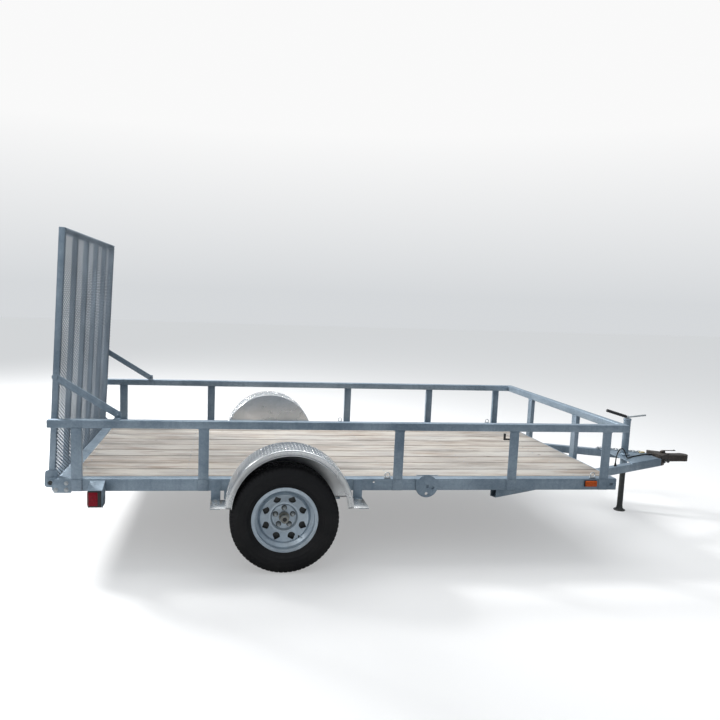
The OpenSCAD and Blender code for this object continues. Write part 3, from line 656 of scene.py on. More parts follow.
class Model:
    """One piece being modelled: a bmesh with the shop's usual operations on it."""

    def __init__(self) -> None:
        """Starts with an empty mesh."""
        self.bm = bmesh.new()

    def block(
        self, low: Sequence[float], high: Sequence[float], bevel: float = 0.0, segments: int = 2
    ) -> list[bmesh.types.BMVert]:
        """Adds a box with rounded edges.

        Args:
            low: Its lowest corner in metres.
            high: Its highest corner.
            bevel: Radius of its edges, or 0 for sharp ones.
            segments: Faces across each rounded edge.

        Returns:
            The box's corners before its edges are rounded, or none after.
        """
        low, high = Vector(low), Vector(high)
        matrix = Matrix.Translation((low + high) / 2) @ Matrix.Diagonal((*(high - low), 1.0))
        made = bmesh.ops.create_cube(self.bm, size=1.0, matrix=matrix)["verts"]
        if bevel <= 0:
            return made
        self.round_edges(edges_of(made), bevel, segments)
        return []

    def round_edges(
        self, edges: Iterable[bmesh.types.BMEdge], width: float, segments: int = 2
    ) -> None:
        """Bevels edges with a round profile."""
        bmesh.ops.bevel(
            self.bm, geom=list(edges), offset=width, offset_type="OFFSET", affect="EDGES",
            segments=segments, profile=0.5, material=-1, clamp_overlap=True,
        )

    def rod(
        self, start: Vector, end: Vector, radius: float, sides: int = 24,
        end_radius: float | None = None, bevel: float = 0.0,
    ) -> None:
        """Adds a straight closed rod or cone between two points."""
        run = end - start
        matrix = Matrix.Translation((start + end) / 2) @ along(run)
        far = radius if end_radius is None else end_radius
        made = bmesh.ops.create_cone(
            self.bm, cap_ends=True, segments=sides, radius1=radius, radius2=far,
            depth=run.length, matrix=matrix,
        )["verts"]
        if bevel > 0:
            rims = [
                e for e in edges_of(made) if any(len(f.verts) > 4 for f in e.link_faces)
            ]
            self.round_edges(rims, bevel)

    def ball(self, centre: Vector, radius: float, flatten: Vector | None = None) -> None:
        """Adds a small low-face ball, squashed by three factors if given."""
        matrix = Matrix.Translation(centre)
        if flatten is not None:
            matrix = matrix @ Matrix.Diagonal((*flatten, 1.0))
        bmesh.ops.create_icosphere(self.bm, subdivisions=1, radius=radius, matrix=matrix)

    def bolt(self, seat: Vector, axis: Vector, across: float, height: float) -> None:
        """Adds a hexagon bolt head on a washer.

        Args:
            seat: The point on the surface under the washer.
            axis: The direction that the head points in.
            across: The head's corner radius.
            height: The head's height.
        """
        out = axis.normalized()
        washer = height * 0.25
        self.rod(seat - out * washer, seat + out * washer, across * 1.45, 20)
        self.rod(seat, seat + out * (washer + height), across, 6, bevel=across * 0.12)

    def weld(self, start: Vector, end: Vector, radius: float) -> None:
        """Adds a weld bead between two points: a row of small overlapping puddles."""
        run = end - start
        count = max(2, round(run.length / (radius * 1.1)))
        for i in range(count + 1):
            spot = start + run * (i / count)
            swell = 1.0 + 0.18 * noise.noise(spot * 160.0)
            self.ball(spot, radius * swell)

    def lathe(
        self, profile: Outline, centre: Vector, axis: Vector,
        steps: int, closed: bool = True,
    ) -> list[bmesh.types.BMVert]:
        """Spins an outline once round an axis.

        Args:
            profile: Distance from the axis and distance along it, point by point.
            centre: A point on the axis that the second distance is measured from.
            axis: The axis's direction, of unit length.
            steps: Faces round the full turn.
            closed: Whether the outline's last point joins its first.

        Returns:
            Every vertex of the spun shape.
        """
        before = set(self.bm.verts)
        side = axis.orthogonal().normalized()
        verts = [self.bm.verts.new(centre + side * r + axis * d) for r, d in profile]
        pairs = list(zip(verts, verts[1:]))
        if closed:
            pairs.append((verts[-1], verts[0]))
        edges = [self.bm.edges.new(pair) for pair in pairs]
        bmesh.ops.spin(
            self.bm, geom=verts + edges, cent=centre, axis=axis, dvec=(0, 0, 0),
            angle=math.tau, steps=steps, use_merge=True, use_duplicate=False,
        )
        made = [v for v in self.bm.verts if v not in before]
        poles = []
        for vert in made:
            arm = vert.co - centre
            if (arm - axis * arm.dot(axis)).length < POLE_RADIUS:
                poles.append(vert)
        bmesh.ops.remove_doubles(self.bm, verts=poles, dist=MERGE_DISTANCE)
        return [v for v in self.bm.verts if v not in before]

    def repeat(self, step: Vector, count: int) -> None:
        """Copies everything made so far count times in all, each a step further on."""
        base = list(self.bm.verts) + list(self.bm.edges) + list(self.bm.faces)
        for i in range(1, count):
            copy = bmesh.ops.duplicate(self.bm, geom=base)["geom"]
            moved = [part for part in copy if isinstance(part, bmesh.types.BMVert)]
            bmesh.ops.translate(self.bm, verts=moved, vec=step * i)

    def move(self, matrix: Matrix) -> None:
        """Moves everything made so far."""
        bmesh.ops.transform(self.bm, matrix=matrix, verts=self.bm.verts)

    def publish(
        self, name: str, body: str, material: bpy.types.Material, slot: Slot,
        smooth: float = 35.0, turn_out: bool = True,
    ) -> bpy.types.Object:
        """Makes the finished piece, dressed and riding on its body.

        Args:
            name: The piece's name.
            body: The frame's body that it moves with.
            material: Its finish.
            slot: The record's slot for that finish; not used.
            smooth: Edges flatter than this many degrees are shaded smooth.
            turn_out: Whether to recalculate which way its faces point.

        Returns:
            The piece.
        """
        if turn_out:
            bmesh.ops.recalc_face_normals(self.bm, faces=self.bm.faces)
        mesh = bpy.data.meshes.new(name)
        self.bm.to_mesh(mesh)
        self.bm.free()
        piece = bpy.data.objects.new(name, mesh)
        bpy.context.scene.collection.objects.link(piece)
        mesh.materials.append(material)
        mesh.shade_smooth()
        mesh.set_sharp_from_angle(angle=math.radians(smooth))
        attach(piece, body)
        LOG.info("%s: %d faces on %s", name, len(mesh.polygons), body)
        return piece


def dress(node: str, material: bpy.types.Material) -> None:
    """Gives a frame node a better material, with its shape as it is."""
    mesh = frame["nodes"][node].data
    mesh.materials.clear()
    mesh.materials.append(material)


def rounded_copy(
    node: str, width: float, material: bpy.types.Material, slot: Slot, body: str = "chassis",
    segments: int = 2, angle: float = 50.0,
) -> bpy.types.Object:
    """Replaces a frame node with a copy of its shape whose edges are rounded.

    Args:
        node: The node's name.
        width: Radius of the rounded edges in metres.
        material: The piece's finish.
        slot: The record's slot for that finish.
        body: The body that it moves with.
        segments: Faces across a rounded edge.
        angle: Only edges sharper than this many degrees are rounded.

    Returns:
        The new piece.
    """
    model = Model()
    bm = model.bm
    bm.from_mesh(frame["nodes"][node].data)
    bmesh.ops.remove_doubles(bm, verts=bm.verts, dist=MERGE_DISTANCE)
    drop_cavities(bm)
    bmesh.ops.dissolve_limit(bm, angle_limit=FLAT_ANGLE, verts=bm.verts, edges=bm.edges)
    sharp = math.radians(angle)
    edges = [e for e in bm.edges if e.is_manifold and abs(e.calc_face_angle(0.0)) > sharp]
    model.round_edges(edges, width, segments)
    piece = model.publish(f"{node}_rounded", body, material, slot, turn_out=False)
    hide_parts(node)
    return piece


def drop_cavities(bm: bmesh.types.BMesh) -> None:
    """Deletes closed inner shells, such as the sealed inside of a capped tube."""
    unseen = set(bm.faces)
    doomed: list[bmesh.types.BMFace] = []
    while unseen:
        shell = [unseen.pop()]
        for face in shell:
            for edge in face.edges:
                for near in edge.link_faces:
                    if near in unseen:
                        unseen.discard(near)
                        shell.append(near)
        volume = sum(f.calc_center_median().dot(f.normal) * f.calc_area() for f in shell)
        if volume < 0:
            doomed.extend(shell)
    bmesh.ops.delete(bm, geom=doomed, context="FACES")


def solids_of(node: str) -> list[SizeBox]:
    """The boxes of a frame node's separate solids, from low X, then low Y.

    Args:
        node: The node's name.

    Returns:
        The lowest and highest corner of each solid.
    """
    bm = bmesh.new()
    bm.from_mesh(frame["nodes"][node].data)
    bmesh.ops.remove_doubles(bm, verts=bm.verts, dist=MERGE_DISTANCE)
    unseen = set(bm.verts)
    boxes: list[SizeBox] = []
    while unseen:
        shell = [unseen.pop()]
        for vert in shell:
            for edge in vert.link_edges:
                other = edge.other_vert(vert)
                if other in unseen:
                    unseen.discard(other)
                    shell.append(other)
        low = Vector([min(v.co[i] for v in shell) for i in range(3)])
        high = Vector([max(v.co[i] for v in shell) for i in range(3)])
        boxes.append((low, high))
    bm.free()
    return sorted(boxes, key=lambda corners: (round(corners[0].x, 3), corners[0].y))


# ---- Sub-assemblies ----


@dataclass
class SubAssembly:
    """A group of pieces that are made and dressed together."""

    finishes: Finishes

    def build(self) -> None:
        """Makes every piece of the group."""
        raise NotImplementedError


@dataclass
class Harness(SubAssembly):
    """The trailer's wiring lead: a rubber boot on the tongue, the lead and its flat plug."""

    diameter: float = 0.009
    boot_height: float = 0.026
    plug_round: float = 0.003
    route: tuple[Point, ...] = (
        (1.64987, -0.339, 0.475), (1.64987, -0.339, 0.495), (1.65287, -0.336, 0.520),
        (1.66187, -0.328, 0.547), (1.67987, -0.312, 0.571), (1.70587, -0.290, 0.586),
        (1.73587, -0.264, 0.590), (1.76587, -0.238, 0.583), (1.79387, -0.213, 0.566),
        (1.81887, -0.190, 0.542), (1.84087, -0.170, 0.516), (1.86187, -0.150, 0.494),
        (1.88587, -0.128, 0.481), (1.91187, -0.106, 0.479), (1.93987, -0.086, 0.479),
        (1.96987, -0.068, 0.479), (1.99987, -0.052, 0.479), (2.02987, -0.036, 0.479),
        (2.05987, -0.020, 0.479), (2.08987, -0.006, 0.479), (2.11787, 0.002, 0.479),
        (2.13187, 0.004, 0.479), (2.14587, 0.004, 0.479),
    )

    def smooth_route(self, steps: int = 4) -> list[Vector]:
        """The route's points with smooth ones between them."""
        ends = [Vector(point) for point in self.route]
        ends = [2 * ends[0] - ends[1], *ends, 2 * ends[-1] - ends[-2]]
        points: list[Vector] = []
        for a, b, c, d in zip(ends, ends[1:], ends[2:], ends[3:]):
            for k in range(steps):
                t = k / steps
                points.append(
                    0.5 * (2 * b + (c - a) * t + (2 * a - 5 * b + 4 * c - d) * t * t
                           + (3 * b - a - 3 * c + d) * t ** 3)
                )
        return [*points, Vector(self.route[-1])]

    def build(self) -> None:
        """Makes the lead as a curve, with its boot and plug."""
        self._boot()
        plug = self._plug()
        points = self.smooth_route()
        curve = bpy.data.curves.new("harness_lead", "CURVE")
        curve.dimensions = "3D"
        curve.bevel_depth = self.diameter / 2
        curve.bevel_resolution = 4
        curve.use_fill_caps = True
        spline = curve.splines.new("POLY")
        spline.points.add(len(points) - 1)
        for knot, point in zip(spline.points, points):
            knot.co = (*point, 1.0)
        lead = bpy.data.objects.new("harness_lead", curve)
        bpy.context.scene.collection.objects.link(lead)
        curve.materials.append(self.finishes.jacket)
        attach(lead, "chassis")
        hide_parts("harness_cable")
        LOG.info("%s: lead of %d points", lead.name, len(points))

    def _boot(self) -> None:
        """The tapered rubber boot where the lead leaves the tongue."""
        low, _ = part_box("cable_gland")
        foot = Vector((self.route[0][0], self.route[0][1], low.z))
        r = self.diameter / 2
        profile = [
            (0.0, 0.0), (r + 0.0065, 0.0), (r + 0.0065, 0.004), (r + 0.004, 0.006),
            (r + 0.003, 0.012), (r + 0.0036, 0.013), (r + 0.0022, 0.019),
            (r + 0.0012, self.boot_height), (0.0, self.boot_height),
        ]
        model = Model()
        model.lathe(profile, foot, Z_AXIS, 28, closed=False)
        piece = model.publish("harness_boot", "chassis", self.finishes.jacket, Slot.CABLE)
        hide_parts("cable_gland")

    def _plug(self) -> bpy.types.Object:
        """The flat four-way plug, with ribs for grip and its terminals."""
        low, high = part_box("harness_plug")
        model = Model()
        model.block(low, high, self.plug_round, 3)
        for i in range(4):
            x = low.x + 0.007 + 0.006 * i
            model.block(
                (x, low.y + 0.002, low.z + 0.001),
                (x + 0.0025, high.y - 0.002, high.z + 0.0012), 0.0008,
            )
        middle = (low.z + high.z) / 2
        for i in range(4):
            y = low.y + 0.004 + 0.006 * i
            model.rod(
                Vector((high.x - 0.002, y, middle)), Vector((high.x + 0.011, y, middle)),
                0.0019, 12, bevel=0.0004,
            )
        piece = model.publish("harness_plug_body", "chassis", self.finishes.plastic, Slot.CABLE)
        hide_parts("harness_plug")
        return piece


@dataclass
class DeckTimbers(SubAssembly):
    """The deck's boards, each a little bowed and worn, and the screws that hold them."""

    BOARD_ATTRIBUTE = "board_number"
    ACROSS_ATTRIBUTE = "board_across"
    boards: int = 10
    gap: float = 0.004
    edge: float = 0.0035
    bow: float = 0.0016
    lengthwise_cuts: int = 30
    screw_radius: float = 0.0042
    screw_shares: tuple[float, float] = (0.22, 0.78)
    beams: int = 6
    half_beam: float = 0.025

    def build(self) -> None:
        """Makes the boards and their screws."""
        low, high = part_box("deck_planks")
        pitch = (high.y - low.y + self.gap) / self.boards
        model = Model()
        for layer in (self.BOARD_ATTRIBUTE, self.ACROSS_ATTRIBUTE):
            model.bm.verts.layers.float.new(layer)
        for i in range(self.boards):
            start = low.y + i * pitch
            model.block((low.x, start, low.z), (high.x, start + pitch - self.gap, high.z))
        self._shape(model)
        self._mark_and_bow(model, low, pitch)
        piece = model.publish("deck_boards", "chassis", self.finishes.timber, Slot.TIMBER, 40.0)
        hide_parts("deck_planks")
        self._screws(low, high, pitch)

    def _shape(self, model: Model) -> None:
        """Cuts the boards along their length and rounds their long edges."""
        lengthwise = [
            e for e in model.bm.edges
            if abs((e.verts[0].co - e.verts[1].co).normalized().x) > 0.9
        ]
        bmesh.ops.subdivide_edges(
            model.bm, edges=lengthwise, cuts=self.lengthwise_cuts, use_grid_fill=True
        )
        corners = [
            e for e in model.bm.edges
            if len(e.link_faces) == 2 and e.calc_face_angle(0.0) > FOLD_ANGLE
        ]
        model.round_edges(corners, self.edge)

    def _mark_and_bow(self, model: Model, low: Vector, pitch: float) -> None:
        """Numbers each board, marks the way across it for the painted shade at its edges, and bows
        it a little.
        """
        number = model.bm.verts.layers.float[self.BOARD_ATTRIBUTE]
        across = model.bm.verts.layers.float[self.ACROSS_ATTRIBUTE]
        half = (pitch - self.gap) / 2
        for vert in model.bm.verts:
            order = round((vert.co.y - low.y - half) / pitch)
            vert[number] = order + 1.0
            vert[across] = (vert.co.y - low.y - order * pitch) / half - 1.0
            here = Vector((vert.co.x * 0.9, order * 5.3, 0.0))
            vert.co.z += self.bow * noise.noise(here)
            vert.co.y += self.bow * 0.6 * noise.noise(here + Vector((0, 0, 7.7)))

    def _screws(self, low: Vector, high: Vector, pitch: float) -> None:
        """Two screws through each board at each cross member."""
        beams_low, beams_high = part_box("cross_members")
        first = beams_low.x + self.half_beam
        step = (beams_high.x - self.half_beam - first) / (self.beams - 1)
        model = Model()
        for i in range(self.beams):
            for k in range(self.boards):
                for share in self.screw_shares:
                    y = low.y + k * pitch + share * (pitch - self.gap)
                    spot = Vector((first + i * step, y, high.z))
                    model.rod(spot - Z_AXIS * 0.003, spot + Z_AXIS * 0.0011, self.screw_radius, 10)
        model.publish("deck_screws", "chassis", self.finishes.galvanised, Slot.GALVANISED)


@dataclass
class FrameSteel(SubAssembly):
    """The angle-iron frame, its cross members, brackets and plates, with welds and bolts."""

    rolled_edge: float = 0.0012
    weld_radius: float = 0.0035
    nodes: tuple[str, ...] = (
        "side_frame_right", "side_frame_left", "front_member", "rear_member", "cross_members",
        "corner_plates", "hinge_brackets", "fender_brackets", "lamp_brackets", "accessory_plate",
        "brace_catches",
    )

    def build(self) -> None:
        """Makes the frame's pieces and the welds between them."""
        for node in self.nodes:
            rounded_copy(node, self.rolled_edge, self.finishes.galvanised, Slot.GALVANISED)
        self._cross_welds()
        self._bracket_bolts()
        self._hinge_pins()
        rounded_copy("rope_hook", 0.002, self.finishes.plastic, Slot.PLASTIC)

    def _cross_welds(self) -> None:
        """Welds where each cross member meets the side frames."""
        model = Model()
        for low, high in solids_of("cross_members"):
            for y in (low.y, high.y):
                x = low.x + 0.006
                model.weld(
                    Vector((x, y, low.z + 0.004)), Vector((x, y, high.z - 0.006)), self.weld_radius
                )
        low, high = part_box("accessory_plate")
        model.weld(
            Vector((low.x + 0.004, low.y, high.z)), Vector((high.x - 0.004, low.y, high.z)),
            self.weld_radius,
        )
        model.publish("frame_welds", "chassis", self.finishes.galvanised, Slot.GALVANISED, 60.0)

    def _bracket_bolts(self) -> None:
        """Bolts through the fender brackets, the lamp brackets and the corner plates."""
        model = Model()
        for low, high in solids_of("fender_brackets"):
            _, face, inner = outer_face(low, high)
            middle = (low.x + high.x) / 2
            for share in (0.35, 0.7):
                y = inner + (face - inner) * share
                model.bolt(Vector((middle, y, low.z)), -Z_AXIS, 0.0085, 0.006)
                model.bolt(Vector((middle, y, low.z + 0.0088)), Z_AXIS, 0.0085, 0.005)
        for low, high in solids_of("corner_plates"):
            out, face, _ = outer_face(low, high)
            for dx, dz in ((0.022, 0.02), (0.085, 0.02), (0.085, 0.062)):
                seat = Vector((low.x + dx, face, low.z + dz))
                model.bolt(seat, Y_AXIS * out, 0.0095, 0.007)
        model.publish("frame_bolts", "chassis", self.finishes.zinc_plate, Slot.GALVANISED)

    def _hinge_pins(self) -> None:
        """The gate's hinge pins, each a welded tube end with a dark disc in its hole as painted
        shade.
        """
        hinge = gate_hinge_point()
        low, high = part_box("hinge_brackets")
        tube, bore_shade = Model(), Model()
        for side in Side:
            face = low.y if side is Side.RIGHT else high.y
            end = Vector((hinge.x, face, hinge.z))
            out = Y_AXIS * side.value
            tube.lathe(
                [(0.0, -0.004), (0.0215, -0.004), (0.0215, 0.003), (0.0200, 0.0045),
                 (0.0155, 0.0045), (0.0145, 0.003), (0.0145, 0.001), (0.0, 0.001)],
                end, out, 32, closed=False,
            )
            # A dark disc sunk in each tube end: painted shade in the hole.
            bore_shade.lathe(
                [(0.0, 0.0), (0.0138, 0.0), (0.0138, 0.0016), (0.0, 0.0016)], end, out, 24,
                closed=False,
            )
        tube.publish("hinge_pin_tubes", "chassis", self.finishes.galvanised, Slot.GALVANISED)
        bore_shade.publish("hinge_pin_bore_shade", "chassis", self.finishes.dark, Slot.DARK)


@dataclass
class PostsAndRails(SubAssembly):
    """The side posts, the square top rails and the rings for lashings."""

    rail_round: float = 0.004
    post_round: float = 0.0016
    weld_radius: float = 0.0038
    ring_bar: float = 0.0033
    ring_radius: float = 0.0162
    ring_height: float = 0.024
    strap_height: float = 0.013
    plug_inset: float = 0.005

    def build(self) -> None:
        """Makes posts, rails, welds and rings."""
        for node in ("rail_right", "rail_left", "front_rail"):
            rounded_copy(
                node, self.rail_round, self.finishes.galvanised, Slot.GALVANISED, segments=3
            )
        for node in ("posts_right", "posts_left", "front_posts"):
            rounded_copy(node, self.post_round, self.finishes.galvanised, Slot.GALVANISED)
        self._welds()
        self._rings()
        self._rail_caps()

    def _welds(self) -> None:
        """A bead round each post where it meets the rail and the frame."""
        model = Model()
        rail_low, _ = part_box("rail_right")
        _, deck_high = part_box("side_frame_right")
        for side in Side:
            for low, high in solids_of(f"posts_{side.word}"):
                face = low.y if side is Side.RIGHT else high.y
                for z in (rail_low.z, deck_high.z - 0.002):
                    model.weld(
                        Vector((low.x, face, z)), Vector((high.x, face, z)), self.weld_radius
                    )
                for x in (low.x, high.x):
                    model.weld(
                        Vector((x, face - side.value * 0.005, low.z + 0.004)),
                        Vector((x, face - side.value * 0.005, deck_high.z - 0.004)),
                        self.weld_radius,
                    )
        for low, high in solids_of("front_posts"):
            for z in (rail_low.z, low.z + 0.002):
                model.weld(Vector((low.x, low.y, z)), Vector((low.x, high.y, z)), self.weld_radius)
        model.publish("post_welds", "chassis", self.finishes.galvanised, Slot.GALVANISED, 60.0)

    def _rail_caps(self) -> None:
        """Moulded plugs in the rails' rear ends."""
        model = Model()
        for side in Side:
            low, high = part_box(f"rail_{side.word}")
            inset = self.plug_inset
            model.block(
                (low.x - 0.0015, low.y + inset, low.z + inset),
                (low.x + 0.006, high.y - inset, high.z - inset), 0.0012,
            )
        model.publish("rail_end_plugs", "chassis", self.finishes.plastic, Slot.PLASTIC)

    def _rings(self) -> None:
        """Lashing rings, each under a folded strap."""
        model = Model()
        for low, high in solids_of("tie_down_rings"):
            middle = (low + high) / 2
            centre = Vector((middle.x, middle.y, low.z + self.ring_height))
            model.lathe(round_bar(self.ring_radius, self.ring_bar, 10), centre, Y_AXIS, 36)
            model.block(low, (high.x, high.y, low.z + self.strap_height), 0.004, 3)
        piece = model.publish(
            "lashing_rings", "chassis", self.finishes.zinc_plate, Slot.GALVANISED
        )
        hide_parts("tie_down_rings")


@dataclass
class Fender(SubAssembly):
    """One arched fender of aluminium tread plate."""

    side: Side
    radius: float = 0.396
    skirt: float = 0.035
    sheet: float = 0.0025
    corner: float = 0.006
    hem: float = 0.0032
    arc_steps: int = 90
    bump_pitch: float = 0.0215
    bump_half: Point = (0.0098, 0.0028, 0.0019)
    foot_share: float = 0.26
    foot_lap: float = 0.004

    def build(self) -> None:
        """Makes the arch with its skirt, wall, feet, hem and raised pattern."""
        low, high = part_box(f"fender_{self.side.word}")
        centre = Vector(((low.x + high.x) / 2, 0.0, high.z - self.radius))
        outer = low.y if self.side is Side.RIGHT else high.y
        inner = high.y if self.side is Side.RIGHT else low.y
        rise = math.asin((low.z - centre.z) / self.radius)
        shell = self._shell(centre, inner, outer, rise)
        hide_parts(f"fender_{self.side.word}")
        self._pattern(centre, inner, outer, rise)
        self._trim(centre, inner, outer, rise, low, high)

    def _spun(
        self, model: Model, verts: list[bmesh.types.BMVert], edges: list[bmesh.types.BMEdge],
        centre: Vector, rise: float,
    ) -> None:
        """Spins geometry at the front foot over the arch to the rear foot."""
        bmesh.ops.spin(
            model.bm, geom=verts + edges, cent=centre, axis=(0, -1, 0), dvec=(0, 0, 0),
            angle=math.pi - 2 * rise, steps=self.arc_steps, use_merge=False, use_duplicate=False,
        )

    def _shell(self, centre: Vector, inner: float, outer: float, rise: float) -> bpy.types.Object:
        """The sheet: arch, folded skirt and the wall against the frame."""
        model = Model()
        way = Vector((math.cos(rise), 0.0, math.sin(rise)))
        verts = [
            model.bm.verts.new(centre + way * r + Y_AXIS * y)
            for r, y in (
                (self.radius - self.skirt, outer), (self.radius, outer), (self.radius, inner)
            )
        ]
        edges = [model.bm.edges.new(pair) for pair in zip(verts, verts[1:])]
        self._spun(model, verts, edges, centre, rise)
        wall = [v for v in model.bm.verts if abs(v.co.y - inner) < MERGE_DISTANCE]
        wall.sort(key=lambda v: math.atan2(v.co.z - centre.z, v.co.x - centre.x))
        model.bm.faces.new(wall)
        bmesh.ops.recalc_face_normals(model.bm, faces=model.bm.faces)
        top = max(model.bm.faces, key=lambda f: f.calc_center_median().z)
        if top.normal.z < 0:
            bmesh.ops.reverse_faces(model.bm, faces=model.bm.faces)
        folds = [
            e for e in model.bm.edges
            if len(e.link_faces) == 2 and e.calc_face_angle(0.0) > FOLD_ANGLE
        ]
        model.round_edges(folds, self.corner, 4)
        piece = model.publish(
            f"fender_{self.side.word}_shell", "chassis", self.finishes.tread_plate,
            Slot.TREAD_PLATE, 40.0, turn_out=False,
        )
        thick = piece.modifiers.new("sheet", "SOLIDIFY")
        thick.thickness = self.sheet
        thick.offset = -1.0
        return piece

    def _pattern(self, centre: Vector, inner: float, outer: float, rise: float) -> None:
        """The raised lozenges over the arch and along the skirt, turned alternately."""
        model = Model()
        spread = math.pi - 2 * rise
        rows = int(self.radius * spread / self.bump_pitch)
        columns = int(abs(outer - inner) / self.bump_pitch)
        for row in range(rows):
            angle = rise + spread * (row + 0.5) / rows
            radial = Vector((math.cos(angle), 0.0, math.sin(angle)))
            tangent = Vector((-math.sin(angle), 0.0, math.cos(angle)))
            for column in range(columns):
                y = inner + (outer - inner) * (column + 0.5) / columns
                spot = centre + radial * self.radius + Y_AXIS * y
                self._lozenge(model, spot, radial, tangent, (row + column) % 2)
            spot = centre + radial * (self.radius - self.skirt / 2) + Y_AXIS * outer
            self._lozenge(model, spot, Y_AXIS * self.side.value, tangent, row % 2)
        model.publish(
            f"fender_{self.side.word}_pattern", "chassis", self.finishes.tread_plate,
            Slot.TREAD_PLATE, 80.0,
        )

    def _lozenge(
        self, model: Model, spot: Vector, normal: Vector, tangent: Vector, turned: int
    ) -> None:
        """One raised lozenge, lying at 45 degrees to the sheet's length."""
        across = normal.cross(tangent)
        lean = 1.0 if turned else -1.0
        long_way = (tangent + across * lean).normalized()
        short_way = normal.cross(long_way)
        turn = Matrix((long_way, short_way, normal)).transposed().to_4x4()
        matrix = Matrix.Translation(spot) @ turn @ Matrix.Diagonal((*self.bump_half, 1.0))
        bmesh.ops.create_icosphere(model.bm, subdivisions=1, radius=1.0, matrix=matrix)

    def _trim(
        self, centre: Vector, inner: float, outer: float, rise: float, low: Vector, high: Vector
    ) -> None:
        """The rolled hem under the skirt, and the flat feet at both ends."""
        model = Model()
        way = Vector((math.cos(rise), 0.0, math.sin(rise)))
        hem_y = outer - self.side.value * 0.002
        spot = centre + way * (self.radius - self.skirt) + Y_AXIS * hem_y
        turn = Matrix((way, Y_AXIS, way.cross(Y_AXIS))).transposed().to_4x4()
        ring = bmesh.ops.create_circle(
            model.bm, cap_ends=False, segments=10, radius=self.hem,
            matrix=Matrix.Translation(spot) @ turn,
        )["verts"]
        self._spun(model, list(ring), edges_of(ring), centre, rise)
        bmesh.ops.holes_fill(model.bm, edges=[e for e in model.bm.edges if e.is_boundary], sides=12)
        reach = self.radius * math.cos(rise)
        wide = sorted((outer, inner + (outer - inner) * self.foot_share))
        for start, end in (
            (low.x, centre.x - reach + self.foot_lap), (centre.x + reach - self.foot_lap, high.x)
        ):
            model.block((start, wide[0], low.z), (end, wide[1], low.z + self.sheet), 0.0008)
        model.publish(
            f"fender_{self.side.word}_hem", "chassis", self.finishes.tread_plate, Slot.TREAD_PLATE
        )


